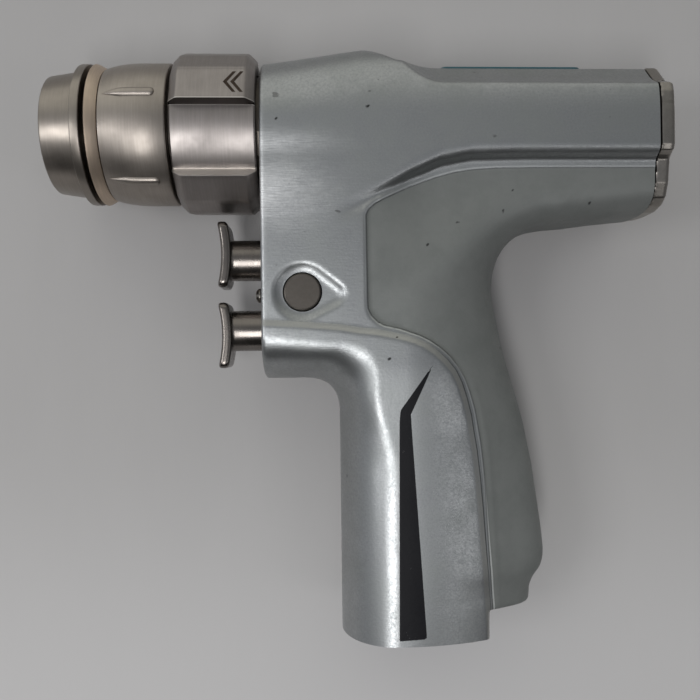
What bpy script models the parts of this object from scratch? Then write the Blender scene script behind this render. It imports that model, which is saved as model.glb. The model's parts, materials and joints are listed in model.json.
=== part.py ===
"""Pistol-grip surgical power drill, modelled as the pieces that it comes apart into.

The drill axis runs along X with the nose at -X and the rear cap at +X. The handle hangs down and
stands flat on its lower end at Z = 0. Sizes are in millimetres and are scaled to metres when a
mesh is made. Distances called "back" are measured rearwards from the housing's front face.
"""
import math

import bmesh
import bpy
from mathutils import Matrix, Vector

MM = 0.001

# Clearances
FIT = 0.3
SEAT = 0.3

# Coupling, from the nose to the housing's front face
BARREL_RADIUS = 17.2
NOSE_LENGTH = 10.1
NOSE_FRONT_RADIUS = 14.35
NOSE_REAR_RADIUS = 15.5
FLANGE_THICKNESS = 1.6
COLLAR_GAP = 1.2
CONE_LENGTH = 2.6
CONE_REAR_RADIUS = 16.0
SLEEVE_LENGTH = 15.8
SLEEVE_FRONT_RADIUS = 16.3
SLEEVE_TAPER = 5.0
RIB_COUNT = 5
RIB_LENGTH = 12.5
RIB_WIDTH = 1.8
RIB_HEIGHT = 0.7
RIB_SETBACK = 0.9
RIB_FIRST_ANGLE = -18.0
RING_GAP = 0.8
SELECTOR_LENGTH = 20.0
LOBE_COUNT = 3
LOBE_FLAT_RADIUS = 19.0
LOBE_HALF_ANGLE = 36.0
LOBE_SHOULDER_ANGLE = 5.0
LOBE_CHAMFER = 2.5
LOBE_FIRST_ANGLE = -43.0
FACE_GAP = 0.9

# Coupling body and drive spindle
SPIGOT_RADIUS = 14.3
SPIGOT_INSERT = 7.9
NECK_RADIUS = 11.7
NOSE_RECESS = 0.8
COLLAR_SHOULDER = 2.4
COLLAR_RIM = 0.5
RING_GROOVE_SETBACK = 0.9
RING_GROOVE_DEPTH = 0.9
RING_GROOVE_PLAY = 0.15
SOCKET_RADIUS = 9.0
SOCKET_DEPTH = 13.9
SOCKET_WEB = 2.0
SPINDLE_RADIUS = 5.0
SPINDLE_END_RADIUS = 3.2
SPINDLE_HEAD_LENGTH = 3.2
DOG_COUNT = 3
DOG_LENGTH = 2.2
DOG_WIDTH = 3.0
SPINDLE_BEARING_RADIUS = 10.0
SPINDLE_BEARING_LENGTH = 5.0
RETAINING_RING_HEIGHT = 1.2
RETAINING_RING_THICKNESS = 0.8
COLLAR_SPRING_WIRE = 0.4
COLLAR_SPRING_TURNS = 2.0
PLUNGER_RADIUS = 1.2
PLUNGER_SEAT = 0.4
DOG_HEAD_INSET = 0.8

# Cannula that runs through the whole tool
CANNULA_BORE_RADIUS = 1.3
CANNULA_WALL = 0.4

# Planetary gear stage
MODULE = 0.6
SUN_TEETH = 12
PLANET_TEETH = 15
PLANET_COUNT = 3
PRESSURE_ANGLE = 25.0
ADDENDUM = 0.9
DEDENDUM = 1.2
BACKLASH = 0.14
PLANET_WIDTH = 6.0
RING_GEAR_WIDTH = 8.0
PLANET_PIN_RADIUS = 1.2
CARRIER_THICKNESS = 3.9
CARRIER_RADIUS = 11.0
CARRIER_CLEARANCE = 0.8
WASHER_THICKNESS = 0.6

# Motor
MOTOR_BORE_RADIUS = 12.7
SHAFT_RADIUS = 4.0
SUN_HUB_RADIUS = 3.4
SUN_HUB_LENGTH = 3.2
MOTOR_BEARING_LENGTH = 5.0
WINDING_LENGTH = 3.4
STATOR_LENGTH = 28.0
STATOR_BORE_RADIUS = 7.6
MAGNET_RADIUS = 7.1
WINDING_INSET = 0.9
WINDING_CLEARANCE = 0.6
WINDING_ROUND = 1.0
BOARD_THICKNESS = 1.6

# Housing, upper part
AXIS_HEIGHT = 125.8
HOUSING_LENGTH = 95.5
HUMP_BACK = 24.7
HUMP_HEIGHT = 20.4
TOP_FLAT_BACK = 33.0
TOP_FLAT_HEIGHT = 14.8
TOP_FLAT_HALF_WIDTH = 8.2
ROOF_FOOT_HALF_WIDTH = 12.7
ROOF_FOOT_HEIGHT = 10.1
SHOULDER_HALF_WIDTH = 16.2
SHOULDER_HEIGHT = 8.4
ROOF_RUNOUT = 11.0
ROOF_RUNOUT_LIFT = 6.5
SIDE_HALF_WIDTH = 17.0
LEDGE_DROP = 8.6
LEDGE_ROUND = 2.2
UNDERBODY_HALF_WIDTH = 13.7
UNDERBODY_DROP = 21.2
UNDERBODY_ROUND = 5.8
UNDERBODY_SAG = 2.6

# Housing, front block and handle
BLOCK_LENGTH = 24.9
BLOCK_HALF_WIDTH = 16.9
BLOCK_BELOW_PAD = 2.75
BLOCK_LOWER_ROUND = 6.5
BLOCK_FRONT_ROUND = 0.8
BLOCK_BAND_PROUD = 0.3
BLOCK_BAND_HEIGHT = 11.6
HANDLE_FRONT_BACK = 18.6
HANDLE_FRONT_ROUND = 10.0
HANDLE_BASE_REAR = 54.3
HANDLE_MIDDLE_REAR = 48.6
HANDLE_MIDDLE_HEIGHT = 54.2
HANDLE_BASE_HALF_WIDTH = 14.6
HANDLE_TOP_HALF_WIDTH = 16.4
SLEEVE_PROUD = 0.4
THROAT_ROUND = 8.0
GRIP_BOTTOM = 6.8
GRIP_LIP_HEIGHT = 5.2
GRIP_LIP_STEP = 3.3
GRIP_BASE_REAR = 70.2
GRIP_WAIST_REAR = 57.9
GRIP_WAIST_HEIGHT = 86.0
GRIP_CENTRE_BACK = 34.0

# Rear cap
CAP_THICKNESS = 3.7
CAP_EDGE_ROUND = 0.8
PLUG_LENGTH = 5.8
SEAL_WIDTH = 1.8
SEAL_HEIGHT = 1.4
CAP_SCREW_RADIUS = 0.9
CAP_SCREW_HEAD_RADIUS = 1.7
CAP_SCREW_HEAD_LENGTH = 1.4
CAP_SCREW_GRIP = 6.0
CAP_SCREW_UPPER = (12.2, 8.2)
CAP_SCREW_LOWER = (8.0, -15.4)

# Triggers and mode button
STEM_RADIUS = 5.15
STEM_REACH = 8.1
STEM_INSERT = 8.9
TRIGGER_TRAVEL = 6.0
GUIDE_ROD_RADIUS = 2.0
POCKET_DEPTH = 21.4
BUSH_WALL = 0.85
BUSH_LENGTH = 4.6
ROD_END_GAP = 0.5
PAD_HEIGHT = 16.4
PAD_WIDTH = 12.0
PAD_THICKNESS = 2.5
PAD_HOLLOW = 1.05
PAD_EDGE_ROUND = 0.7
PAD_OFFSET = 1.15
PAD_GAP = 3.8
PAD_BELOW_BARREL = 5.25
TRIGGER_SPRING_WIRE = 0.45
TRIGGER_SPRING_TURNS = 4.0
TRIGGER_SPRING_CLEARANCE = 0.4
TRIGGER_SCREW_HEAD_RADIUS = 1.9
TRIGGER_SCREW_RADIUS = 0.9
TRIGGER_SCREW_GRIP = 5.0
TRIGGER_WASHER_RADIUS = 2.5
TRIGGER_WASHER_THICKNESS = 0.7
BUTTON_BACK = 9.7
BUTTON_BELOW_SCREW = 0.4
BUTTON_RADIUS = 4.4
BUTTON_ROD_RADIUS = 2.2
BUTTON_CAP_LENGTH = 8.6
BUTTON_TRAVEL = 2.8
RECESS_RADIUS = 6.9
RECESS_TIP_RADIUS = 1.8
RECESS_TIP_BACK = 9.0
RECESS_TIP_DROP = 0.9
RECESS_DEPTH = 1.0

# Battery socket and electronics in the handle
HANDLE_WALL = 2.8
BATTERY_DEPTH = 56.0
BATTERY_LENGTH = 29.4
BATTERY_HALF_WIDTH = 10.2
BATTERY_ROUND = 4.0
ELECTRONICS_HEIGHT = 6.0
ELECTRONICS_INSET = 1.2
CONTACT_BLOCK_HEIGHT = 6.0
CONTACT_COUNT = 4
CONTACT_PITCH = 4.4
CONTACT_SIZE = (6.0, 0.9, 6.0)
LEAD_COUNT = 3
LEAD_RADIUS = 0.7
LEAD_PITCH = 1.9
LEAD_BACK = 40.0
SENSOR_BOARD_WIDTH = 10.0

# Smoothness
FINE_STEPS = 32
MIDDLE_STEPS = 18
SMALL_STEPS = 14
ARC_STEPS = 4

# Places along the drill axis, all measured back from the housing's front face
SELECTOR_REAR = -FACE_GAP
SELECTOR_FRONT = SELECTOR_REAR - SELECTOR_LENGTH
SLEEVE_REAR = SELECTOR_FRONT - RING_GAP
SLEEVE_FRONT = SLEEVE_REAR - SLEEVE_LENGTH
CONE_REAR = SLEEVE_FRONT - SEAT
CONE_FRONT = CONE_REAR - CONE_LENGTH
COLLAR_REAR = CONE_FRONT - COLLAR_GAP
COLLAR_FRONT = COLLAR_REAR - NOSE_LENGTH
BODY_FRONT = COLLAR_FRONT + NOSE_RECESS
BODY_REAR = SPIGOT_INSERT
SOCKET_FLOOR = BODY_FRONT + SOCKET_DEPTH
BEARING_SEAT = SOCKET_FLOOR + SOCKET_WEB
CARRIER_FRONT = BODY_REAR + CARRIER_CLEARANCE
CARRIER_REAR = CARRIER_FRONT + CARRIER_THICKNESS
PLANET_FRONT = CARRIER_REAR + FIT
PLANET_REAR = PLANET_FRONT + PLANET_WIDTH
WASHER_FRONT = PLANET_REAR + FIT
WASHER_REAR = WASHER_FRONT + WASHER_THICKNESS
GEAR_SHOULDER = WASHER_REAR + SEAT
RING_GEAR_REAR = GEAR_SHOULDER - SEAT
SUN_FRONT = CARRIER_REAR + FIT
SUN_HUB_REAR = WASHER_REAR + SUN_HUB_LENGTH
SHAFT_FRONT = SUN_HUB_REAR + SEAT
FRONT_BEARING = SHAFT_FRONT + FIT
FRONT_WINDING = FRONT_BEARING + MOTOR_BEARING_LENGTH + FIT
STATOR_FRONT = FRONT_WINDING + WINDING_LENGTH + SEAT
STATOR_REAR = STATOR_FRONT + STATOR_LENGTH
REAR_WINDING = STATOR_REAR + SEAT
REAR_BEARING = REAR_WINDING + WINDING_LENGTH + FIT
MOTOR_BOARD_FRONT = REAR_BEARING + MOTOR_BEARING_LENGTH + SEAT
SHAFT_REAR = REAR_BEARING + MOTOR_BEARING_LENGTH
CAP_FRONT = HOUSING_LENGTH + SEAT
CAP_REAR = CAP_FRONT + CAP_THICKNESS
ORIGIN_BACK = (COLLAR_FRONT + CAP_REAR) / 2

# Heights that follow from the barrel and the finger pads
UPPER_PAD_HEIGHT = AXIS_HEIGHT - BARREL_RADIUS - PAD_BELOW_BARREL - PAD_HEIGHT / 2
LOWER_PAD_HEIGHT = UPPER_PAD_HEIGHT - PAD_HEIGHT - PAD_GAP
TRIGGER_HEIGHTS = {"upper": UPPER_PAD_HEIGHT - PAD_OFFSET, "lower": LOWER_PAD_HEIGHT + PAD_OFFSET}
PAD_HEIGHTS = {"upper": UPPER_PAD_HEIGHT, "lower": LOWER_PAD_HEIGHT}
TRIGGER_SCREW_HEIGHT = (UPPER_PAD_HEIGHT + LOWER_PAD_HEIGHT) / 2
BUTTON_HEIGHT = TRIGGER_SCREW_HEIGHT - BUTTON_BELOW_SCREW
BLOCK_BOTTOM = LOWER_PAD_HEIGHT - PAD_HEIGHT / 2 - BLOCK_BELOW_PAD

# Radii that follow from the sizes above
RING_BORE = SPIGOT_RADIUS + FIT
CANNULA_RADIUS = CANNULA_BORE_RADIUS + CANNULA_WALL
DRIVE_BORE = CANNULA_RADIUS + FIT
SPINDLE_BEARING_BORE = SPINDLE_BEARING_RADIUS + SEAT
RING_TEETH = SUN_TEETH + 2 * PLANET_TEETH
GEAR_CENTRES = MODULE * (SUN_TEETH + PLANET_TEETH) / 2
BUSH_BORE = STEM_RADIUS + FIT
BUSH_RADIUS = BUSH_BORE + BUSH_WALL
STATOR_RADIUS = MOTOR_BORE_RADIUS - SEAT
BATTERY_FRONT = HANDLE_FRONT_BACK + HANDLE_WALL
BATTERY_REAR = BATTERY_FRONT + BATTERY_LENGTH
ELECTRONICS_TOP = BATTERY_DEPTH + ELECTRONICS_HEIGHT
BOARD_TOP = BATTERY_DEPTH - SEAT
CONTACT_BLOCK_TOP = BOARD_TOP - BOARD_THICKNESS - SEAT

# Rotations that lay a shape's own Z axis along the drill axis, or across the drill
ALONG_X = (0.0, math.pi / 2, 0.0)
ALONG_Y = (math.pi / 2, 0.0, 0.0)
UPRIGHT = (0.0, 0.0, 0.0)

ALUMINIUM = ("silver_aluminium", (0.52, 0.56, 0.57), 0.75, 0.42)
NICKEL = ("coupling_steel", (0.46, 0.42, 0.38), 1.0, 0.32)
BRONZE = ("bronze_tint", (0.45, 0.33, 0.22), 1.0, 0.35)
STEEL = ("stainless_steel", (0.50, 0.48, 0.46), 1.0, 0.28)
GEAR_STEEL = ("gear_steel", (0.42, 0.42, 0.43), 1.0, 0.35)
SPRING_STEEL = ("spring_steel", (0.35, 0.35, 0.37), 1.0, 0.3)
RUBBER = ("black_rubber", (0.02, 0.02, 0.02), 0.0, 0.7)
COPPER = ("copper_wire", (0.55, 0.24, 0.12), 1.0, 0.4)
BRASS = ("contact_brass", (0.62, 0.45, 0.18), 1.0, 0.3)
MAGNET = ("magnet_nickel", (0.32, 0.32, 0.33), 1.0, 0.3)
CIRCUIT = ("circuit_board", (0.03, 0.16, 0.07), 0.0, 0.5)
BLACK_PLASTIC = ("black_plastic", (0.03, 0.03, 0.035), 0.0, 0.5)
BUSH_PLASTIC = ("bush_plastic", (0.09, 0.09, 0.10), 0.0, 0.45)


def clear_scene():
    """Remove what the startup file holds."""
    for old in list(bpy.data.objects):
        bpy.data.objects.remove(old, do_unlink=True)


def collection(name):
    """Make a collection in the scene."""
    made = bpy.data.collections.new(name)
    bpy.context.scene.collection.children.link(made)
    return made


def finish(look):
    """Give the material of a finish, made once."""
    name, colour, metallic, roughness = look
    made = bpy.data.materials.get(name)
    if made is None:
        made = bpy.data.materials.new(name)
        made.use_nodes = True
        shader = made.node_tree.nodes["Principled BSDF"]
        shader.inputs["Base Color"].default_value = (*colour, 1.0)
        shader.inputs["Metallic"].default_value = metallic
        shader.inputs["Roughness"].default_value = roughness
    return made


def place(back, side=0.0, height=AXIS_HEIGHT):
    """World place, in millimetres, of a point a distance back from the housing's front face."""
    return Vector((back - ORIGIN_BACK, side, height))


def add_object(name, data, origin, look, rotation=UPRIGHT):
    """Put a mesh or curve into the drill's collection."""
    made = bpy.data.objects.new(name, data)
    made.location = origin * MM
    made.rotation_euler = rotation
    data.materials.append(finish(look))
    DRILL.objects.link(made)
    return made


def settle(made):
    """Replace an object's mesh by its evaluated one, closed and with its faces pointing out."""
    bpy.context.view_layer.update()
    evaluated = made.evaluated_get(bpy.context.evaluated_depsgraph_get())
    mesh = bpy.data.meshes.new_from_object(evaluated)
    made.modifiers.clear()
    made.data = mesh
    shape = bmesh.new()
    shape.from_mesh(mesh)
    bmesh.ops.remove_doubles(shape, verts=shape.verts, dist=0.002 * MM)
    bmesh.ops.dissolve_degenerate(shape, edges=shape.edges, dist=0.001 * MM)
    bmesh.ops.recalc_face_normals(shape, faces=shape.faces)
    shape.to_mesh(mesh)
    shape.free()
    mesh.shade_smooth()
    mesh.set_sharp_from_angle(angle=math.radians(32))
    return made


def combine(target, tool, operation):
    """Join a tool to a target or cut the target with it, and remove the tool."""
    change = target.modifiers.new(operation.lower(), "BOOLEAN")
    change.operation = operation
    change.solver = "EXACT"
    change.object = tool
    settle(target)
    bpy.data.objects.remove(tool, do_unlink=True)
    return target


def join(target, tool):
    """Weld a tool's shape onto a target."""
    return combine(target, tool, "UNION")


def cut(target, tool):
    """Cut a tool's shape out of a target."""
    return combine(target, tool, "DIFFERENCE")


def turned(name, profile, origin, look, rotation=ALONG_X, steps=MIDDLE_STEPS, ring=True):
    """Turn a profile of (along, radius) points, which starts at the rear of its outer side."""
    mesh = bpy.data.meshes.new(name)
    points = [Vector((radius, 0.0, along)) * MM for along, radius in profile]
    edges = [(index, index + 1) for index in range(len(points) - 1)]
    if ring:
        edges.append((len(points) - 1, 0))
    mesh.from_pydata(points, edges, [])
    made = add_object(name, mesh, origin, look, rotation)
    screw = made.modifiers.new("turn", "SCREW")
    screw.steps = steps
    screw.render_steps = steps
    screw.use_merge_vertices = True
    screw.merge_threshold = 0.002 * MM
    return settle(made)


def tube(name, front, rear, outer, inner, look, steps=MIDDLE_STEPS):
    """Plain ring about the drill axis, from one distance back to another."""
    length = rear - front
    profile = [(length, outer), (0.0, outer), (0.0, inner), (length, inner)]
    return turned(name, profile, place(front), look, steps=steps)


def rod(name, length, radius, origin, look, rotation=ALONG_X, steps=MIDDLE_STEPS):
    """Cylinder that starts at its origin and runs along its own Z axis."""
    profile = [(length, 0.0), (length, radius), (0.0, radius), (0.0, 0.0)]
    return turned(name, profile, origin, look, rotation, steps, ring=False)


def bearing(name, front, length, outer, inner):
    """Ball bearing: two races with a shield sunk between them on its front face."""
    shield = 0.5
    race = (outer - inner) * 0.24
    profile = [(length, outer), (0.0, outer), (0.0, outer - race), (shield, outer - race)]
    profile += [(shield, inner + race), (0.0, inner + race), (0.0, inner), (length, inner)]
    return turned(name, profile, place(front), STEEL)


def rounded(corners, steps=ARC_STEPS):
    """Closed outline through corners (u, v, radius), each an arc of steps + 1 points."""
    outline = []
    for index, (u, v, radius) in enumerate(corners):
        here = Vector((u, v))
        before = (Vector(corners[index - 1][:2]) - here).normalized()
        after = (Vector(corners[(index + 1) % len(corners)][:2]) - here).normalized()
        half = before.angle(after) / 2
        centre = here + (before + after).normalized() * radius / math.sin(half)
        start = here + before * radius / math.tan(half) - centre
        end = here + after * radius / math.tan(half) - centre
        swing = math.atan2(start.cross(end), start.dot(end))
        for step in range(steps + 1):
            turn = Matrix.Rotation(swing * step / steps, 2)
            outline.append(tuple(centre + turn @ start))
    return outline


def plate(name, outlines, thickness, origin, look, rotation=UPRIGHT):
    """Flat outline with its holes, given a thickness along its own Z axis about its origin."""
    curve = bpy.data.curves.new(name, "CURVE")
    curve.dimensions = "2D"
    curve.fill_mode = "BOTH"
    curve.extrude = thickness / 2 * MM
    for outline in outlines:
        spline = curve.splines.new("POLY")
        spline.points.add(len(outline) - 1)
        for point, (u, v) in zip(spline.points, outline):
            point.co = (u * MM, v * MM, 0.0, 1.0)
        spline.use_cyclic_u = True
    guide = add_object(name + "_outline", curve, origin, look, rotation)
    return from_curve(name, guide, look)


def from_curve(name, guide, look):
    """Mesh object of a curve, at the curve's place."""
    bpy.context.view_layer.update()
    evaluated = guide.evaluated_get(bpy.context.evaluated_depsgraph_get())
    mesh = bpy.data.meshes.new_from_object(evaluated)
    mesh.materials.clear()
    made = add_object(name, mesh, guide.location / MM, look, guide.rotation_euler)
    bpy.data.objects.remove(guide, do_unlink=True)
    return settle(made)


def soften(made, width, angle=35.0, segments=2):
    """Round an object's edges that are sharper than an angle."""
    bevel = made.modifiers.new("edge", "BEVEL")
    bevel.width = width * MM
    bevel.segments = segments
    bevel.limit_method = "ANGLE"
    bevel.angle_limit = math.radians(angle)
    return settle(made)


def wire(name, points, radius, origin, look, rotation=UPRIGHT):
    """Round wire along a row of points."""
    curve = bpy.data.curves.new(name, "CURVE")
    curve.dimensions = "3D"
    curve.bevel_depth = radius * MM
    curve.bevel_resolution = 2
    curve.use_fill_caps = True
    spline = curve.splines.new("POLY")
    spline.points.add(len(points) - 1)
    for point, spot in zip(spline.points, points):
        point.co = (*(Vector(spot) * MM), 1.0)
    guide = add_object(name + "_path", curve, origin, look, rotation)
    return from_curve(name, guide, look)


def coil(name, front, length, radius, wire_radius, turns, height=AXIS_HEIGHT, per_turn=12):
    """Compression spring along the drill axis."""
    rise = length - 2 * wire_radius
    points = []
    for index in range(int(turns * per_turn) + 1):
        angle = 2 * math.pi * index / per_turn
        along = wire_radius + rise * index / (turns * per_turn)
        points.append((radius * math.cos(angle), radius * math.sin(angle), along))
    return wire(name, points, wire_radius, place(front, height=height), SPRING_STEEL, ALONG_X)


def box(name, size, origin, look):
    """Block about its middle."""
    shape = bmesh.new()
    bmesh.ops.create_cube(shape, size=1.0, matrix=Matrix.Diagonal((*size, 1.0)))
    bmesh.ops.scale(shape, vec=(MM, MM, MM), verts=shape.verts)
    mesh = bpy.data.meshes.new(name)
    shape.to_mesh(mesh)
    shape.free()
    return add_object(name, mesh, origin, look)


def loft(name, rings, look):
    """Closed body through rings of world points, each ring with as many points."""
    count = len(rings[0])
    points = [Vector(point) * MM for ring in rings for point in ring]
    faces = [tuple(range(count)), tuple(range((len(rings) - 1) * count, len(rings) * count))]
    for level in range(len(rings) - 1):
        for index in range(count):
            after = (index + 1) % count
            low, high = level * count, (level + 1) * count
            faces.append((low + index, low + after, high + after, high + index))
    mesh = bpy.data.meshes.new(name)
    mesh.from_pydata(points, [], faces)
    return settle(add_object(name, mesh, Vector((0.0, 0.0, 0.0)), look))


def between(stations, at):
    """Value at a place in a list of (place, value) stations, in straight runs."""
    for (low, first), (high, last) in zip(stations, stations[1:]):
        if at <= high:
            share = max(0.0, (at - low) / (high - low))
            return first + (last - first) * share
    return stations[-1][1]


# Housing


def upper_body():
    """Barrel of the housing: round in front, humped on top, with straight sides at the rear."""
    rings = []
    ledge = LEDGE_DROP + LEDGE_ROUND
    drops = [(0.0, BARREL_RADIUS), (BLOCK_LENGTH, 2.3 * LEDGE_DROP), (35.6, 1.6 * LEDGE_DROP)]
    drops += [(42.8, 1.25 * LEDGE_DROP), (50.0, 1.03 * LEDGE_DROP), (HOUSING_LENGTH, LEDGE_DROP)]
    stations = [0.0, 8.0, 16.0, HUMP_BACK, 30.0, 35.6, 42.8, 50.0, 62.0, HOUSING_LENGTH]
    for back in stations:
        rise = BARREL_RADIUS + (HUMP_HEIGHT - BARREL_RADIUS) * min(1.0, back / HUMP_BACK)
        share = min(1.0, back / TOP_FLAT_BACK)
        width = BARREL_RADIUS + (SIDE_HALF_WIDTH - BARREL_RADIUS) * share
        power = 2.0 / (2.0 + 0.5 * share)
        ring = []
        for step in range(25):
            angle = math.pi * step / 24
            side = -width * abs(math.cos(angle)) ** power
            up = rise * math.sin(angle) ** power
            ring.append((math.copysign(side, -math.cos(angle)), up))
        ring[0] = (-width, 0.0)
        ring[-1] = (width, 0.0)
        drop = between(drops, back)
        corner = LEDGE_ROUND
        for sign in (1, -1):
            arc = []
            for step in range(4):
                angle = math.pi / 2 * step / 3
                side = width - corner + corner * math.cos(angle)
                arc.append((sign * side, -drop + corner - corner * math.sin(angle)))
            ring += arc if sign == 1 else arc[::-1]
        rings.append([place(back, side, AXIS_HEIGHT + up) for side, up in ring])
    body = loft("housing", rings, ALUMINIUM)
    for sign in (1, -1):
        cut(body, roof_cutter(sign))
    return cut(body, top_cutter())


def top_cutter():
    """Space above the hump's rear slope and the flat top."""
    rear = HOUSING_LENGTH + 10.0
    ceiling = HUMP_HEIGHT + 10.0
    outline = [(HUMP_BACK, HUMP_HEIGHT), (TOP_FLAT_BACK, TOP_FLAT_HEIGHT), (rear, TOP_FLAT_HEIGHT)]
    outline += [(rear, ceiling), (HUMP_BACK - 2.0, ceiling), (HUMP_BACK - 2.0, HUMP_HEIGHT + 0.3)]
    return plate("top_cutter", [outline], 60.0, place(0.0), ALUMINIUM, ALONG_Y)


def roof_cutter(sign):
    """Space beside one slope of the roof and above its shoulder, which dives in behind the hump."""
    slope = (TOP_FLAT_HEIGHT - ROOF_FOOT_HEIGHT) / (ROOF_FOOT_HALF_WIDTH - TOP_FLAT_HALF_WIDTH)
    fall = (ROOF_FOOT_HEIGHT - SHOULDER_HEIGHT) / (SHOULDER_HALF_WIDTH - ROOF_FOOT_HALF_WIDTH)
    reach = 10.0
    ceiling = TOP_FLAT_HEIGHT + slope * reach
    outer = SHOULDER_HALF_WIDTH + reach
    outline = [(TOP_FLAT_HALF_WIDTH - reach, ceiling), (ROOF_FOOT_HALF_WIDTH, ROOF_FOOT_HEIGHT)]
    outline += [(outer, SHOULDER_HEIGHT - fall * reach), (outer, ceiling)]
    rings = []
    for share, lift in ((0.0, 1.0), (0.28, 0.56), (0.52, 0.25), (0.76, 0.07), (1.0, 0.0)):
        back = TOP_FLAT_BACK + share * ROOF_RUNOUT
        rings.append([place(back, sign * side, AXIS_HEIGHT + up + lift * ROOF_RUNOUT_LIFT)
                      for side, up in outline])
    rings.append([place(HOUSING_LENGTH + reach, sign * side, AXIS_HEIGHT + up) for side, up in outline])
    return loft("roof_cutter", rings, ALUMINIUM)


def underbody():
    """Lower body under the ledge, rounded along its bottom."""
    rings = []
    sag = UNDERBODY_SAG
    for back, extra in ((GRIP_CENTRE_BACK, sag), (GRIP_BASE_REAR, sag), (HOUSING_LENGTH, 0.0)):
        low = AXIS_HEIGHT - UNDERBODY_DROP - extra
        high = AXIS_HEIGHT - LEDGE_DROP + LEDGE_ROUND
        half = UNDERBODY_HALF_WIDTH
        corners = [(half + 0.6, high, 0.2), (-half - 0.6, high, 0.2)]
        corners += [(-half + 1.2, low, UNDERBODY_ROUND), (half - 1.2, low, UNDERBODY_ROUND)]
        rings.append([place(back, side, height) for side, height in rounded(corners)])
    return loft("underbody", rings, ALUMINIUM)


def front_block(name, low, high, half, lower_round):
    """Length of the block that carries the triggers, with its lower edges rounded if it has any."""
    size = (BLOCK_LENGTH, 2 * half, high - low)
    block = box(name, size, place(BLOCK_LENGTH / 2, 0.0, (high + low) / 2), ALUMINIUM)
    shape = bmesh.new()
    shape.from_mesh(block.data)
    if lower_round:
        lower = [edge for edge in shape.edges if all(vert.co.z < 0 for vert in edge.verts)
                 and abs(edge.verts[0].co.x - edge.verts[1].co.x) > MM]
        bmesh.ops.bevel(shape, geom=lower, offset=lower_round * MM, segments=5, profile=0.5,
                        affect="EDGES")
    front = min(vert.co.x for vert in shape.verts)
    top = size[2] / 2 * MM
    rim = [edge for edge in shape.edges if all(vert.co.x < front + 0.01 * MM for vert in edge.verts)
           and min(vert.co.z for vert in edge.verts) < top - 0.01 * MM]
    bmesh.ops.bevel(shape, geom=rim, offset=BLOCK_FRONT_ROUND * MM, segments=2, profile=0.5,
                    affect="EDGES")
    shape.to_mesh(block.data)
    shape.free()
    return settle(block)


def block_parts():
    """Front block up to the barrel, and the band along its bottom that stands a little proud."""
    band = BLOCK_BOTTOM + BLOCK_BAND_HEIGHT
    proud = BLOCK_HALF_WIDTH + BLOCK_BAND_PROUD
    upper = front_block("front_block", band - 2.0, AXIS_HEIGHT, BLOCK_HALF_WIDTH, 0.0)
    lower = front_block("block_band", BLOCK_BOTTOM, band, proud, BLOCK_LOWER_ROUND)
    return upper, lower


def handle_half_width(back, height, rear):
    """Half width of the handle's side, which closes as an ellipse towards the back of the grip."""
    stations = [(0.0, HANDLE_BASE_HALF_WIDTH), (GRIP_WAIST_HEIGHT, HANDLE_TOP_HALF_WIDTH)]
    half = between(stations, height)
    share = max(0.0, (back - GRIP_CENTRE_BACK) / (rear - GRIP_CENTRE_BACK))
    return half * math.sqrt(max(0.0, 1.0 - share * share))


def grip_rear(height):
    """How far back the grip reaches at a height."""
    top = AXIS_HEIGHT - UNDERBODY_DROP
    throat = THROAT_ROUND
    stations = [(GRIP_BOTTOM, GRIP_BASE_REAR), (17.0, GRIP_BASE_REAR)]
    stations += [(31.3, GRIP_BASE_REAR - 1.3), (46.9, GRIP_BASE_REAR - 3.6)]
    stations += [(62.6, GRIP_BASE_REAR - 7.4), (73.0, GRIP_WAIST_REAR + 2.4)]
    stations += [(GRIP_WAIST_HEIGHT, GRIP_WAIST_REAR), (top - throat * 1.3, GRIP_WAIST_REAR + 0.4)]
    stations += [(top - throat * 0.9, GRIP_WAIST_REAR + 2.4), (top - throat * 0.62, GRIP_WAIST_REAR + 5.4)]
    stations += [(top - throat * 0.45, GRIP_WAIST_REAR + 9.0), (top - throat * 0.34, GRIP_WAIST_REAR + 13.4)]
    return between(stations, height)


def grip():
    """Rear grip: half-elliptical sections that narrow to a waist and flare out at the bottom."""
    top = AXIS_HEIGHT - UNDERBODY_DROP
    throat = THROAT_ROUND
    lip = GRIP_BOTTOM + GRIP_LIP_HEIGHT
    heights = [(GRIP_BOTTOM, -GRIP_LIP_STEP - 0.8), (GRIP_BOTTOM + 0.8, -GRIP_LIP_STEP)]
    heights += [(lip - 0.9, -GRIP_LIP_STEP), (lip, -GRIP_LIP_STEP + 1.6), (lip + 2.6, -0.4)]
    heights += [(17.0, 0.0), (31.3, 0.0), (46.9, 0.0), (62.6, 0.0), (73.0, 0.0)]
    heights += [(GRIP_WAIST_HEIGHT, 0.0)]
    heights += [(top - throat * share, 0.0) for share in (1.3, 0.9, 0.62, 0.45, 0.34)]
    rings = []
    for height, step in heights:
        rear = grip_rear(height) + step
        half = handle_half_width(0.0, height, rear)
        if height > GRIP_WAIST_HEIGHT:
            rise = (height - GRIP_WAIST_HEIGHT) / (top - GRIP_WAIST_HEIGHT)
            half -= rise * (HANDLE_TOP_HALF_WIDTH - UNDERBODY_HALF_WIDTH)
        ring = []
        for index in range(-8, 9):
            angle = math.pi / 2 * index / 8
            reach = (rear - GRIP_CENTRE_BACK) * math.cos(angle)
            ring.append(place(GRIP_CENTRE_BACK + reach, half * math.sin(angle), height))
        front = HANDLE_FRONT_BACK + HANDLE_FRONT_ROUND - 3.0
        ring += [place(front, half, height), place(front, -half, height)]
        rings.append(ring)
    ring = [point.copy() for point in rings[-1]]
    for point in ring:
        point.z = AXIS_HEIGHT - LEDGE_DROP + 1.0
    rings.append(ring)
    return loft("grip", rings, ALUMINIUM)


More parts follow.
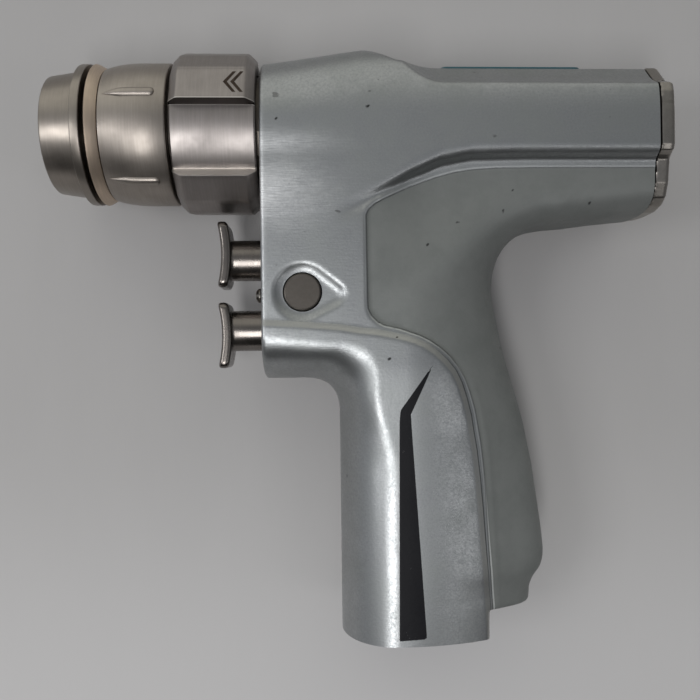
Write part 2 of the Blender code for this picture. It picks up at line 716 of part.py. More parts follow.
def handle_rear(height):
    """Line where the front of the handle meets the grip, which curves forward at the top."""
    middle = HANDLE_MIDDLE_REAR
    stations = [(0.0, HANDLE_BASE_REAR), (30.0, middle + 3.2), (HANDLE_MIDDLE_HEIGHT, middle)]
    rise = BLOCK_BOTTOM - HANDLE_MIDDLE_HEIGHT
    stations += [(HANDLE_MIDDLE_HEIGHT + 0.6 * rise, middle - 0.6), (BLOCK_BOTTOM, middle - 2.4)]
    stations += [(BLOCK_BOTTOM + 3.4, middle - 5.0), (BLOCK_BOTTOM + 7.4, middle - 9.9)]
    stations += [(BLOCK_BOTTOM + 10.1, middle - 15.9), (BLOCK_BOTTOM + 11.4, middle - 22.0)]
    return between(stations, height)


def handle_front(height):
    """Front line of the handle, which sweeps forward into the block's underside."""
    drop = BLOCK_BOTTOM - height
    sweep = [(0.0, 9.6), (0.3, 6.0), (1.2, 3.9), (2.8, 1.8), (5.6, 0.4), (9.6, 0.0)]
    return HANDLE_FRONT_BACK - between(sweep, max(drop, 0.0))


def handle_sleeve():
    """Front of the handle, a little proud of the grip, from the base up into the block."""
    block = BLOCK_BOTTOM
    heights = [0.0, 30.0, HANDLE_MIDDLE_HEIGHT, block - 5.6, block - 2.8, block - 1.2, block - 0.3]
    heights += [block + 1.0, block + 3.4, block + 7.4, block + 10.1, block + 11.4]
    rings = []
    for height in heights:
        front = handle_front(height)
        rear = handle_rear(height)
        reach = grip_rear(max(height, GRIP_BOTTOM))
        half = handle_half_width(0.0, height, reach) + SLEEVE_PROUD
        flare = min(1.0, max(0.0, (height - HANDLE_MIDDLE_HEIGHT) / (block - HANDLE_MIDDLE_HEIGHT)))
        widen = flare * (BLOCK_HALF_WIDTH + BLOCK_BAND_PROUD - half)
        half += widen
        corner = HANDLE_FRONT_ROUND
        side = []
        for step in range(7):
            angle = math.pi / 2 * step / 6
            side.append((front + corner * (1 - math.cos(angle)), half - corner * (1 - math.sin(angle))))
        for step in range(1, 6):
            back = front + corner + (rear - front - corner) * step / 5
            fade = widen * (1.0 - step / 5)
            side.append((back, handle_half_width(back, height, reach) + SLEEVE_PROUD + fade))
        ring = [place(back, across, height) for back, across in side]
        ring += [place(back, -across, height) for back, across in reversed(side)]
        rings.append(ring)
    return loft("handle_sleeve", rings, ALUMINIUM)


def battery_outline(inset=0.0):
    """Plan of the battery socket, which a battery pack slides into."""
    half = BATTERY_HALF_WIDTH - inset
    front, rear = BATTERY_FRONT + inset, BATTERY_REAR - inset
    corner = BATTERY_ROUND
    corners = [(front, -half, corner), (rear, -half, corner), (rear, half, corner)]
    return rounded(corners + [(front, half, corner)], 3)


def upright(name, outline, low, high, look):
    """Upright prism of a plan outline between two heights."""
    centred = [(back - BATTERY_FRONT, side) for back, side in outline]
    origin = place(BATTERY_FRONT, 0.0, (low + high) / 2)
    return plate(name, [centred], high - low, origin, look)


def make_housing():
    """Moulded housing with its barrel bore, trigger pockets, button bore and battery socket."""
    housing = upper_body()
    for part in (underbody(), *block_parts(), grip(), handle_sleeve()):
        join(housing, part)
    steps = FINE_STEPS
    cut(housing, rod("bore", GEAR_SHOULDER + 5.0, RING_BORE, place(-5.0), ALUMINIUM, steps=steps))
    length = HOUSING_LENGTH - GEAR_SHOULDER + 10.0
    cut(housing, rod("bore", length, MOTOR_BORE_RADIUS, place(GEAR_SHOULDER - 5.0), ALUMINIUM, steps=steps))
    for height in TRIGGER_HEIGHTS.values():
        start = place(-5.0, height=height)
        cut(housing, rod("pocket", POCKET_DEPTH + 5.0, BUSH_BORE, start, ALUMINIUM, steps=20))
        cut(housing, rod("pocket", BUSH_LENGTH + SEAT + 5.0, BUSH_RADIUS + SEAT, start, ALUMINIUM, steps=20))
    start = place(-5.0, height=TRIGGER_SCREW_HEIGHT)
    length = TRIGGER_SCREW_GRIP + SEAT + 5.0
    cut(housing, rod("hole", length, TRIGGER_SCREW_RADIUS + FIT, start, ALUMINIUM, steps=10))
    cut_button_bore(housing)
    for side, up in screw_places():
        start = place(HOUSING_LENGTH - CAP_SCREW_GRIP - 1.0, side, AXIS_HEIGHT + up)
        hole = rod("hole", CAP_SCREW_GRIP + 5.0, CAP_SCREW_RADIUS + FIT, start, ALUMINIUM, steps=8)
        cut(housing, hole)
    cut(housing, upright("socket", battery_outline(), -5.0, BATTERY_DEPTH, ALUMINIUM))
    outline = battery_outline(ELECTRONICS_INSET)
    cut(housing, upright("socket", outline, BATTERY_DEPTH - 3.0, ELECTRONICS_TOP, ALUMINIUM))
    cut_wiring(housing)
    return housing


def cut_button_bore(housing):
    """Bore of the mode button across the block, with a teardrop thumb recess at each end."""
    for sign in (1, -1):
        floor = sign * (BLOCK_HALF_WIDTH - RECESS_DEPTH + 5.0)
        recess = plate("recess", [recess_outline()], 10.0, place(BUTTON_BACK, floor, BUTTON_HEIGHT),
                       ALUMINIUM, ALONG_Y)
        cut(housing, recess)
        start = sign * (SIDE_HALF_WIDTH - BUTTON_CAP_LENGTH - FIT)
        origin = place(BUTTON_BACK, start, BUTTON_HEIGHT)
        rotation = (-sign * math.pi / 2, 0.0, 0.0)
        bore = rod("bore", BUTTON_CAP_LENGTH + 6.0, BUTTON_RADIUS + FIT, origin, ALUMINIUM, rotation, 20)
        cut(housing, bore)
    origin = place(BUTTON_BACK, BLOCK_HALF_WIDTH, BUTTON_HEIGHT)
    cut(housing, rod("bore", 2 * BLOCK_HALF_WIDTH, BUTTON_ROD_RADIUS + FIT, origin, ALUMINIUM, ALONG_Y, 16))


def recess_outline():
    """Teardrop around the button: a round end and a smaller one behind it, joined by tangents."""
    length = math.hypot(RECESS_TIP_BACK, RECESS_TIP_DROP)
    lean = math.atan2(-RECESS_TIP_DROP, RECESS_TIP_BACK)
    spread = math.acos((RECESS_RADIUS - RECESS_TIP_RADIUS) / length)
    outline = []
    for step in range(15):
        angle = lean + spread + (2 * math.pi - 2 * spread) * step / 14
        outline.append((RECESS_RADIUS * math.cos(angle), RECESS_RADIUS * math.sin(angle)))
    for step in range(5):
        angle = lean - spread + 2 * spread * step / 4
        outline.append((RECESS_TIP_BACK + RECESS_TIP_RADIUS * math.cos(angle),
                        -RECESS_TIP_DROP + RECESS_TIP_RADIUS * math.sin(angle)))
    return outline


def cut_wiring(housing):
    """Slot of the trigger sensor board and channels of the motor leads."""
    low = BATTERY_DEPTH + ELECTRONICS_HEIGHT / 2
    high = sensor_top() + 0.5
    size = (BOARD_THICKNESS + 2 * FIT, SENSOR_BOARD_WIDTH + 2 * FIT, high - low)
    middle = place(sensor_back(), 0.0, (low + high) / 2)
    cut(housing, box("slot", size, middle, ALUMINIUM))
    for side in lead_sides():
        start = place(LEAD_BACK, side, low)
        length = AXIS_HEIGHT - MOTOR_BORE_RADIUS - low + 2.0
        cut(housing, rod("channel", length, LEAD_RADIUS + 0.2, start, ALUMINIUM, UPRIGHT, 8))


def sensor_back():
    """Middle of the trigger sensor board, just behind the trigger pockets."""
    return POCKET_DEPTH + 1.0 + FIT + BOARD_THICKNESS / 2


def sensor_top():
    """Top of the trigger sensor board, level with the upper trigger's stem."""
    return TRIGGER_HEIGHTS["upper"] + STEM_RADIUS


def lead_sides():
    """Side places of the motor leads."""
    return [(index - (LEAD_COUNT - 1) / 2) * LEAD_PITCH for index in range(LEAD_COUNT)]


# Rear cap


def screw_places():
    """Side and height above the axis of the four rear cap screws."""
    spots = []
    for side, up in (CAP_SCREW_UPPER, CAP_SCREW_LOWER):
        spots += [(side, up), (-side, up)]
    return spots


def cap_outline():
    """Rear outline of the housing, as (side, height above the axis)."""
    ledge = -LEDGE_DROP
    side = SIDE_HALF_WIDTH
    under = UNDERBODY_HALF_WIDTH
    half = [(TOP_FLAT_HALF_WIDTH, TOP_FLAT_HEIGHT, 0.6)]
    half += [(ROOF_FOOT_HALF_WIDTH, ROOF_FOOT_HEIGHT, 1.2), (SHOULDER_HALF_WIDTH, SHOULDER_HEIGHT, 0.5)]
    half += [(side, SHOULDER_HEIGHT / 3, 2.0), (side, ledge, LEDGE_ROUND)]
    half += [(under + 0.3, ledge, 0.4), (under - 0.8, -UNDERBODY_DROP, UNDERBODY_ROUND)]
    other = [(-across, up, corner) for across, up, corner in reversed(half)]
    return rounded(half + other, 2)


def make_rear_cap():
    """Steel end cap with a plug that locates it in the motor bore."""
    middle = place(CAP_FRONT + CAP_THICKNESS / 2)
    turn = (math.pi / 2, 0.0, math.pi / 2)
    cap = plate("rear_cap", [cap_outline()], CAP_THICKNESS, middle, STEEL, turn)
    soften(cap, CAP_EDGE_ROUND, angle=60.0, segments=1)
    radius = STATOR_RADIUS
    groove = radius - SEAL_HEIGHT
    gap = (PLUG_LENGTH - SEAL_WIDTH) / 2
    profile = [(PLUG_LENGTH + 1.5, 0.0), (PLUG_LENGTH + 1.5, radius), (gap + SEAL_WIDTH, radius)]
    profile += [(gap + SEAL_WIDTH, groove), (gap, groove), (gap, radius), (0.0, radius), (0.0, 0.0)]
    join(cap, turned("plug", profile, place(CAP_FRONT - PLUG_LENGTH), STEEL, ring=False))
    hole = rod("hole", PLUG_LENGTH + CAP_THICKNESS + 4.0, DRIVE_BORE, place(CAP_FRONT - PLUG_LENGTH - 2.0),
               STEEL, steps=SMALL_STEPS)
    cut(cap, hole)
    for side, up in screw_places():
        origin = place(CAP_FRONT - 2.0, side, AXIS_HEIGHT + up)
        cut(cap, rod("hole", CAP_THICKNESS + 4.0, CAP_SCREW_RADIUS + FIT, origin, STEEL, steps=8))
        origin = place(CAP_REAR - CAP_SCREW_HEAD_LENGTH - SEAT, side, AXIS_HEIGHT + up)
        cut(cap, rod("hole", 5.0, CAP_SCREW_HEAD_RADIUS + FIT, origin, STEEL, steps=12))
    return cap


def make_cap_seal():
    """Sealing ring in the plug's groove."""
    gap = (PLUG_LENGTH - SEAL_WIDTH) / 2
    front = CAP_FRONT - PLUG_LENGTH + gap + FIT
    outer = STATOR_RADIUS
    tube("rear_cap_seal", front, front + SEAL_WIDTH - 2 * FIT, outer, outer - SEAL_HEIGHT + FIT, RUBBER)


def make_cap_screws():
    """Four screws that hold the rear cap."""
    reach = CAP_SCREW_GRIP + CAP_THICKNESS + SEAT - CAP_SCREW_HEAD_LENGTH
    for index, (side, up) in enumerate(screw_places()):
        head, shank = CAP_SCREW_HEAD_RADIUS, CAP_SCREW_RADIUS
        profile = [(reach + CAP_SCREW_HEAD_LENGTH, 0.0), (reach + CAP_SCREW_HEAD_LENGTH, head)]
        profile += [(reach, head), (reach, shank), (0.0, shank), (0.0, 0.0)]
        origin = place(HOUSING_LENGTH - CAP_SCREW_GRIP, side, AXIS_HEIGHT + up)
        turned(f"rear_cap_screw_{index + 1}", profile, origin, STEEL, steps=10, ring=False)


# Coupling


def make_coupling_body():
    """Tube screwed into the housing's front, which carries the rings and the drive spindle."""
    neck_rear = CONE_FRONT - SEAT
    groove = BODY_FRONT + RING_GROOVE_SETBACK
    ring = RETAINING_RING_THICKNESS + 2 * RING_GROOVE_PLAY
    depth = RING_GROOVE_DEPTH
    profile = [(BODY_REAR, SPIGOT_RADIUS), (neck_rear, SPIGOT_RADIUS), (neck_rear, NECK_RADIUS)]
    profile += [(groove + ring, NECK_RADIUS), (groove + ring, NECK_RADIUS - depth)]
    profile += [(groove, NECK_RADIUS - depth), (groove, NECK_RADIUS), (BODY_FRONT, NECK_RADIUS)]
    profile += [(BODY_FRONT, SOCKET_RADIUS), (SOCKET_FLOOR, SOCKET_RADIUS)]
    profile += [(SOCKET_FLOOR, SPINDLE_RADIUS + FIT), (BEARING_SEAT, SPINDLE_RADIUS + FIT)]
    profile += [(BEARING_SEAT, SPINDLE_BEARING_BORE), (BODY_REAR, SPINDLE_BEARING_BORE)]
    body = turned("coupling_body", profile, place(0.0), NICKEL, steps=FINE_STEPS)
    length = SPIGOT_RADIUS - SPINDLE_BEARING_BORE + 6.0
    hole = rod("hole", length, PLUNGER_RADIUS + FIT, plunger_place(-3.0), NICKEL, UPRIGHT, 12)
    cut(body, hole)
    return body


def plunger_place(extra=0.0):
    """Foot of the selector's spring plunger, on top of the spindle bore."""
    back = (SELECTOR_FRONT + SELECTOR_REAR) / 2
    return place(back, 0.0, AXIS_HEIGHT + SPINDLE_BEARING_BORE + PLUNGER_SEAT + extra)


def make_selector_plunger():
    """Spring plunger that clicks under the selector ring."""
    height = SPIGOT_RADIUS - SPINDLE_BEARING_BORE - PLUNGER_SEAT
    radius = PLUNGER_RADIUS
    profile = [(height, 0.0), (height - 0.2 * radius, 0.5 * radius), (height - 0.8 * radius, radius)]
    profile += [(0.0, radius), (0.0, 0.0)]
    turned("selector_plunger", profile, plunger_place(), STEEL, UPRIGHT, 12, ring=False)


def make_release_collar():
    """Nose collar with its finger flange, and the pocket of its return spring."""
    flange = COLLAR_REAR - FLANGE_THICKNESS
    rim = COLLAR_RIM
    bore = NECK_RADIUS + FIT
    pocket = NECK_RADIUS + RETAINING_RING_HEIGHT + COLLAR_RIM
    step = COLLAR_REAR - COLLAR_SHOULDER
    profile = [(COLLAR_REAR, BARREL_RADIUS), (flange, BARREL_RADIUS), (flange, NOSE_REAR_RADIUS)]
    profile += [(COLLAR_FRONT + rim, NOSE_FRONT_RADIUS), (COLLAR_FRONT, NOSE_FRONT_RADIUS - rim)]
    profile += [(COLLAR_FRONT, pocket), (step, pocket), (step, bore), (COLLAR_REAR, bore)]
    turned("release_collar", profile, place(0.0), NICKEL, steps=FINE_STEPS)


def make_collar_parts():
    """Retaining ring and return spring of the release collar."""
    front = BODY_FRONT + RING_GROOVE_SETBACK + RING_GROOVE_PLAY
    inner = NECK_RADIUS - RING_GROOVE_DEPTH + FIT
    outer = NECK_RADIUS + RETAINING_RING_HEIGHT
    rear = front + RETAINING_RING_THICKNESS
    tube("nose_retaining_ring", front, rear, outer, inner, STEEL)
    spring_front = rear + SEAT
    length = COLLAR_REAR - COLLAR_SHOULDER - SEAT - spring_front
    radius = NECK_RADIUS + 0.8 * COLLAR_RIM + COLLAR_SPRING_WIRE
    turns = COLLAR_SPRING_TURNS
    coil("collar_spring", spring_front, length, radius, COLLAR_SPRING_WIRE, turns, per_turn=18)


def make_cone_ring():
    """Bronze-tinted ring between the release collar and the ribbed sleeve."""
    length = CONE_REAR - CONE_FRONT
    profile = [(length, CONE_REAR_RADIUS), (0.3, BARREL_RADIUS), (0.0, BARREL_RADIUS - 0.3)]
    profile += [(0.0, RING_BORE), (length, RING_BORE)]
    turned("cone_ring", profile, place(CONE_FRONT), BRONZE, steps=FINE_STEPS)


def around(angle, radius):
    """Side and height of a point about the drill axis, from the photographed side downwards."""
    turn = math.radians(angle)
    return -radius * math.cos(turn), AXIS_HEIGHT - radius * math.sin(turn)


def make_front_sleeve():
    """Ribbed sleeve in front of the selector ring."""
    length = SLEEVE_LENGTH
    edge = 0.4
    profile = [(length, BARREL_RADIUS - edge), (length - edge, BARREL_RADIUS), (SLEEVE_TAPER, BARREL_RADIUS)]
    profile += [(0.0, SLEEVE_FRONT_RADIUS), (0.0, RING_BORE), (length, RING_BORE)]
    sleeve = turned("front_sleeve", profile, place(SLEEVE_FRONT), NICKEL, steps=FINE_STEPS)
    half = RIB_WIDTH / 2
    point = 1.6
    outline = [(0.0, 0.0), (point, half)]
    for step in range(7):
        angle = math.pi / 2 - math.pi * step / 6
        outline.append((RIB_LENGTH - half + half * math.cos(angle), half * math.sin(angle)))
    outline.append((point, -half))
    root = BARREL_RADIUS - 0.9
    tall = RIB_HEIGHT + 0.9
    for index in range(RIB_COUNT):
        angle = RIB_FIRST_ANGLE + index * 360.0 / RIB_COUNT
        side, height = around(angle, root + tall / 2)
        origin = place(SLEEVE_FRONT + RIB_SETBACK, side, height)
        roll = (math.radians(90.0 + angle), 0.0, 0.0)
        join(sleeve, plate("rib", [outline], tall, origin, NICKEL, roll))
    return sleeve


def make_selector_ring():
    """Selector ring with flat-sided finger lobes, chamfered at both ends."""
    length = SELECTOR_LENGTH
    front = SELECTOR_FRONT
    ring = rod("selector_ring", length, BARREL_RADIUS, place(front), NICKEL, steps=FINE_STEPS)
    crest = LOBE_FLAT_RADIUS / math.cos(math.radians(LOBE_HALF_ANGLE / 2))
    foot = BARREL_RADIUS - 0.7
    ends = [(0.1, foot), (LOBE_CHAMFER, crest)]
    ends += [(length - LOBE_CHAMFER, crest), (length - 0.1, foot)]
    for index in range(LOBE_COUNT):
        middle = LOBE_FIRST_ANGLE + index * 360.0 / LOBE_COUNT
        rings = []
        for along, radius in ends:
            spots = [(-LOBE_HALF_ANGLE - LOBE_SHOULDER_ANGLE, foot)]
            spots += [(turn * LOBE_HALF_ANGLE, radius) for turn in (-1, 0, 1)]
            spots += [(LOBE_HALF_ANGLE + LOBE_SHOULDER_ANGLE, foot), (0.0, 0.6 * foot)]
            ring_points = []
            for turn, reach in spots:
                side, height = around(middle + turn, reach)
                ring_points.append(place(front + along, side, height))
            rings.append(ring_points)
        join(ring, loft("lobe", rings, NICKEL))
    bore = rod("bore", length + 4.0, RING_BORE, place(front - 2.0), NICKEL, steps=FINE_STEPS)
    return cut(ring, bore)


# Drive


def gear_outline(teeth, inside=False, turn=0.0):
    """Involute gear outline with room for backlash; inside gives a ring gear's inner outline."""
    pitch = MODULE * teeth / 2
    pressure = math.radians(PRESSURE_ANGLE)
    base = pitch * math.cos(pressure)
    tip = pitch + (DEDENDUM if inside else ADDENDUM) * MODULE
    root = pitch - (ADDENDUM if inside else DEDENDUM) * MODULE
    slack = BACKLASH / 2 / pitch
    half = math.pi / (2 * teeth) + (slack if inside else -slack) / 2
    flat = math.tan(pressure) - pressure

    def half_angle(radius):
        lean = math.acos(min(1.0, base / max(radius, base)))
        return half + flat - (math.tan(lean) - lean)

    outline = []
    for tooth in range(teeth):
        middle = turn + 2 * math.pi * tooth / teeth
        flank = [(radius, half_angle(radius)) for radius in (root, tip)]
        for radius, spread in flank:
            outline.append((radius, middle - spread))
        for radius, spread in reversed(flank):
            outline.append((radius, middle + spread))
    return [(radius * math.cos(angle), radius * math.sin(angle)) for radius, angle in outline]


def circle(radius, steps):
    """Round outline."""
    turns = [2 * math.pi * step / steps for step in range(steps)]
    return [(radius * math.cos(turn), radius * math.sin(turn)) for turn in turns]


def make_gears():
    """Sun, planets on their pins, and ring gear, set so that their teeth mesh at rest."""
    sun_turn = 0.0
    middle = place((SUN_FRONT + WASHER_REAR) / 2)
    outlines = [gear_outline(SUN_TEETH, turn=sun_turn), circle(DRIVE_BORE, 16)]
    sun = plate("sun_gear", outlines, WASHER_REAR - SUN_FRONT, middle, GEAR_STEEL, ALONG_X)
    join(sun, tube("hub", WASHER_REAR - 0.2, SUN_HUB_REAR, SUN_HUB_RADIUS, DRIVE_BORE, GEAR_STEEL, 16))
    for index in range(PLANET_COUNT):
        angle = 2 * math.pi * index / PLANET_COUNT
        turn = planet_turn(angle)
        outlines = [gear_outline(PLANET_TEETH, turn=turn), circle(PLANET_PIN_RADIUS + FIT, 12)]
        origin = planet_place(angle, (PLANET_FRONT + PLANET_REAR) / 2)
        plate(f"planet_gear_{index + 1}", outlines, PLANET_WIDTH, origin, GEAR_STEEL, ALONG_X)
    outlines = [circle(SPIGOT_RADIUS, FINE_STEPS), gear_outline(RING_TEETH, True, ring_turn())]
    middle = place(RING_GEAR_REAR - RING_GEAR_WIDTH / 2)
    plate("ring_gear", outlines, RING_GEAR_WIDTH, middle, GEAR_STEEL, ALONG_X)


def planet_place(angle, back):
    """Centre of a planet: the gear plane's own x axis points down and its y axis sideways."""
    down, side = GEAR_CENTRES * math.cos(angle), GEAR_CENTRES * math.sin(angle)
    return place(back, side, AXIS_HEIGHT - down)


def planet_turn(angle):
    """Turn of a planet whose tooth gap faces a sun tooth along the line of centres."""
    return angle * (1 + SUN_TEETH / PLANET_TEETH) + math.pi + math.pi / PLANET_TEETH


def ring_turn():
    """Turn of the ring gear that lets a planet's tooth into a tooth space at the first planet."""
    outer_tooth = planet_turn(0.0)
    offset = outer_tooth % (2 * math.pi / PLANET_TEETH)
    return offset * PLANET_TEETH / RING_TEETH


def make_carrier():
    """Planet carrier, its pins and the hollow drive spindle with its dogs."""
    profile = [(CARRIER_REAR, CARRIER_RADIUS), (CARRIER_FRONT, CARRIER_RADIUS)]
    profile += [(CARRIER_FRONT, SPINDLE_END_RADIUS + FIT), (CARRIER_REAR, SPINDLE_END_RADIUS + FIT)]
    carrier = turned("planet_carrier", profile, place(0.0), STEEL)
    for index in range(PLANET_COUNT):
        angle = 2 * math.pi * index / PLANET_COUNT
        hole = rod("hole", CARRIER_THICKNESS + 4.0, PLANET_PIN_RADIUS + FIT,
                   planet_place(angle, CARRIER_FRONT - 2.0), STEEL, steps=12)
        cut(carrier, hole)
        length = PLANET_REAR - CARRIER_FRONT
        origin = planet_place(angle, CARRIER_FRONT)
        rod(f"planet_pin_{index + 1}", length, PLANET_PIN_RADIUS, origin, STEEL, steps=12)
    head_rear = SOCKET_FLOOR - FIT
    head_front = head_rear - SPINDLE_HEAD_LENGTH
    head = SOCKET_RADIUS - DOG_HEAD_INSET
    end_front = CARRIER_FRONT - FIT
    profile = [(CARRIER_REAR, SPINDLE_END_RADIUS), (end_front, SPINDLE_END_RADIUS)]
    profile += [(end_front, SPINDLE_RADIUS), (head_rear, SPINDLE_RADIUS), (head_rear, head)]
    profile += [(head_front, head), (head_front, DRIVE_BORE), (CARRIER_REAR, DRIVE_BORE)]
    spindle = turned("output_spindle", profile, place(0.0), STEEL)
    for index in range(DOG_COUNT):
        angle = math.degrees(2 * math.pi * index / DOG_COUNT)
        reach = (head + DRIVE_BORE) / 2 + 0.6
        side, height = around(angle, reach)
        origin = place(head_front - DOG_LENGTH / 2 + 0.5, side, height)
        dog = box("dog", (DOG_LENGTH + 1.0, DOG_WIDTH, head - DRIVE_BORE - 2.2), origin, STEEL)
        dog.rotation_euler = (math.radians(90.0 + angle), 0.0, 0.0)
        join(spindle, dog)


def make_drive():
    """Motor, gearbox and spindle bearings."""
    make_gears()
    make_carrier()
    bore = SPINDLE_RADIUS + FIT
    length = SPINDLE_BEARING_LENGTH
    bearing("spindle_bearing_front", BEARING_SEAT + SEAT, length, SPINDLE_BEARING_RADIUS, bore)
    rear = BODY_REAR - 1.0 - length
    bearing("spindle_bearing_rear", rear, length, SPINDLE_BEARING_RADIUS, bore)
    hub = SUN_HUB_RADIUS + 1.4
    tube("thrust_washer", WASHER_FRONT, WASHER_REAR, CARRIER_RADIUS, hub, BRONZE)
    tube("rotor_shaft", SHAFT_FRONT, SHAFT_REAR, SHAFT_RADIUS, DRIVE_BORE, GEAR_STEEL)
    tube("rotor_magnet", STATOR_FRONT, STATOR_REAR, MAGNET_RADIUS, SHAFT_RADIUS + SEAT, MAGNET)
    bore = SHAFT_RADIUS + FIT
    length = MOTOR_BEARING_LENGTH
    bearing("motor_bearing_front", FRONT_BEARING, length, STATOR_RADIUS, bore)
    bearing("motor_bearing_rear", REAR_BEARING, length, STATOR_RADIUS, bore)
    tube("stator_core", STATOR_FRONT, STATOR_REAR, STATOR_RADIUS, STATOR_BORE_RADIUS, GEAR_STEEL)
    for end, front in (("front", FRONT_WINDING), ("rear", REAR_WINDING)):
        length = WINDING_LENGTH
        outer, inner = STATOR_RADIUS - WINDING_INSET, STATOR_BORE_RADIUS + WINDING_CLEARANCE
        round_edge = WINDING_ROUND
        profile = [(length - round_edge, outer), (round_edge, outer), (0.0, outer - round_edge)]
        profile += [(0.0, inner), (length, inner), (length, outer - round_edge)]
        turned(f"winding_head_{end}", profile, place(front), COPPER)
    rear = MOTOR_BOARD_FRONT + BOARD_THICKNESS
    tube("motor_sensor_board", MOTOR_BOARD_FRONT, rear, STATOR_RADIUS, SHAFT_RADIUS + 1.5, CIRCUIT)
    front = SOCKET_FLOOR
    tube("cannula_tube", front, CAP_REAR - 0.4, CANNULA_RADIUS, CANNULA_BORE_RADIUS, STEEL, SMALL_STEPS)


# Triggers and button


def make_trigger(name, height, pad_height):
    """Trigger stem with its hollowed finger pad and the rod that guides its spring."""
    pad_rear = -STEM_REACH
    rod_end = POCKET_DEPTH - TRIGGER_TRAVEL - ROD_END_GAP
    edge = 0.4
    stem_front = pad_rear - PAD_THICKNESS * 0.6
    profile = [(rod_end, 0.0), (rod_end, GUIDE_ROD_RADIUS - edge), (rod_end - edge, GUIDE_ROD_RADIUS)]
    profile += [(STEM_INSERT, GUIDE_ROD_RADIUS), (STEM_INSERT, STEM_RADIUS), (stem_front, STEM_RADIUS)]
    profile += [(stem_front, 0.0)]
    trigger = turned(name, profile, place(0.0, height=height), STEEL, steps=18, ring=False)
    half = PAD_HEIGHT / 2
    bow = (half * half + PAD_HOLLOW * PAD_HOLLOW) / (2 * PAD_HOLLOW)
    rear = []
    for step in range(-4, 5):
        up = half * step / 4
        rear.append((pad_rear - bow + math.sqrt(bow * bow - up * up), up))
    front = [(back - PAD_THICKNESS, up) for back, up in reversed(rear)]
    pad = plate("pad", [rear + front], PAD_WIDTH, place(0.0, 0.0, pad_height), STEEL, ALONG_Y)
    soften(pad, PAD_EDGE_ROUND)
    join(trigger, pad)
    return trigger


def make_triggers():
    """Both triggers with their bushes and springs, and the screw between them."""
    for which, height in TRIGGER_HEIGHTS.items():
        make_trigger(f"{which}_trigger", height, PAD_HEIGHTS[which])
        length = BUSH_LENGTH
        profile = [(length, BUSH_RADIUS), (0.0, BUSH_RADIUS), (0.0, BUSH_BORE), (length, BUSH_BORE)]
        turned(f"{which}_trigger_bush", profile, place(SEAT, height=height), BUSH_PLASTIC)
        front = STEM_INSERT + SEAT
        thick = TRIGGER_SPRING_WIRE
        radius = GUIDE_ROD_RADIUS + FIT + thick + TRIGGER_SPRING_CLEARANCE
        length = POCKET_DEPTH - SEAT - front
        turns = TRIGGER_SPRING_TURNS
        coil(f"{which}_trigger_spring", front, length, radius, thick, turns, height, per_turn=8)
    height = TRIGGER_SCREW_HEIGHT
    washer = TRIGGER_WASHER_THICKNESS
    edge = 0.2
    rim = TRIGGER_WASHER_RADIUS
    profile = [(washer, rim), (edge, rim), (0.0, rim - edge)]
    profile += [(0.0, TRIGGER_SCREW_RADIUS + FIT), (washer, TRIGGER_SCREW_RADIUS + FIT)]
    turned("trigger_screw_seal", profile, place(-SEAT - washer, height=height), RUBBER, steps=SMALL_STEPS)
    head, shank = TRIGGER_SCREW_HEAD_RADIUS, TRIGGER_SCREW_RADIUS
    front = -2 * SEAT - washer
    grip_end = TRIGGER_SCREW_GRIP
    profile = [(grip_end, 0.0), (grip_end, shank), (front, shank), (front, head), (front - 0.4, head)]
    profile += [(front - 0.9, 0.75 * head), (front - 1.2, 0.4 * head), (front - 1.3, 0.0)]
    turned("trigger_screw", profile, place(0.0, height=height), STEEL, steps=12, ring=False)


def make_mode_button():
    """Push-through button: a cap at each side on a thinner rod, flush on the photographed side."""
    near = -SIDE_HALF_WIDTH
    far = SIDE_HALF_WIDTH + BUTTON_TRAVEL
    cap, thin, edge = BUTTON_RADIUS, BUTTON_ROD_RADIUS, 0.4
    near_step = near + BUTTON_CAP_LENGTH
    far_step = far - BUTTON_CAP_LENGTH
    profile = [(far, 0.0), (far, cap - edge), (far - edge, cap), (far_step, cap), (far_step, thin)]
    profile += [(near_step, thin), (near_step, cap), (near + edge, cap), (near, cap - edge), (near, 0.0)]
    origin = place(BUTTON_BACK, 0.0, BUTTON_HEIGHT)
    turned("mode_button", profile, origin, STEEL, (-math.pi / 2, 0.0, 0.0), 20, ring=False)


# Electronics


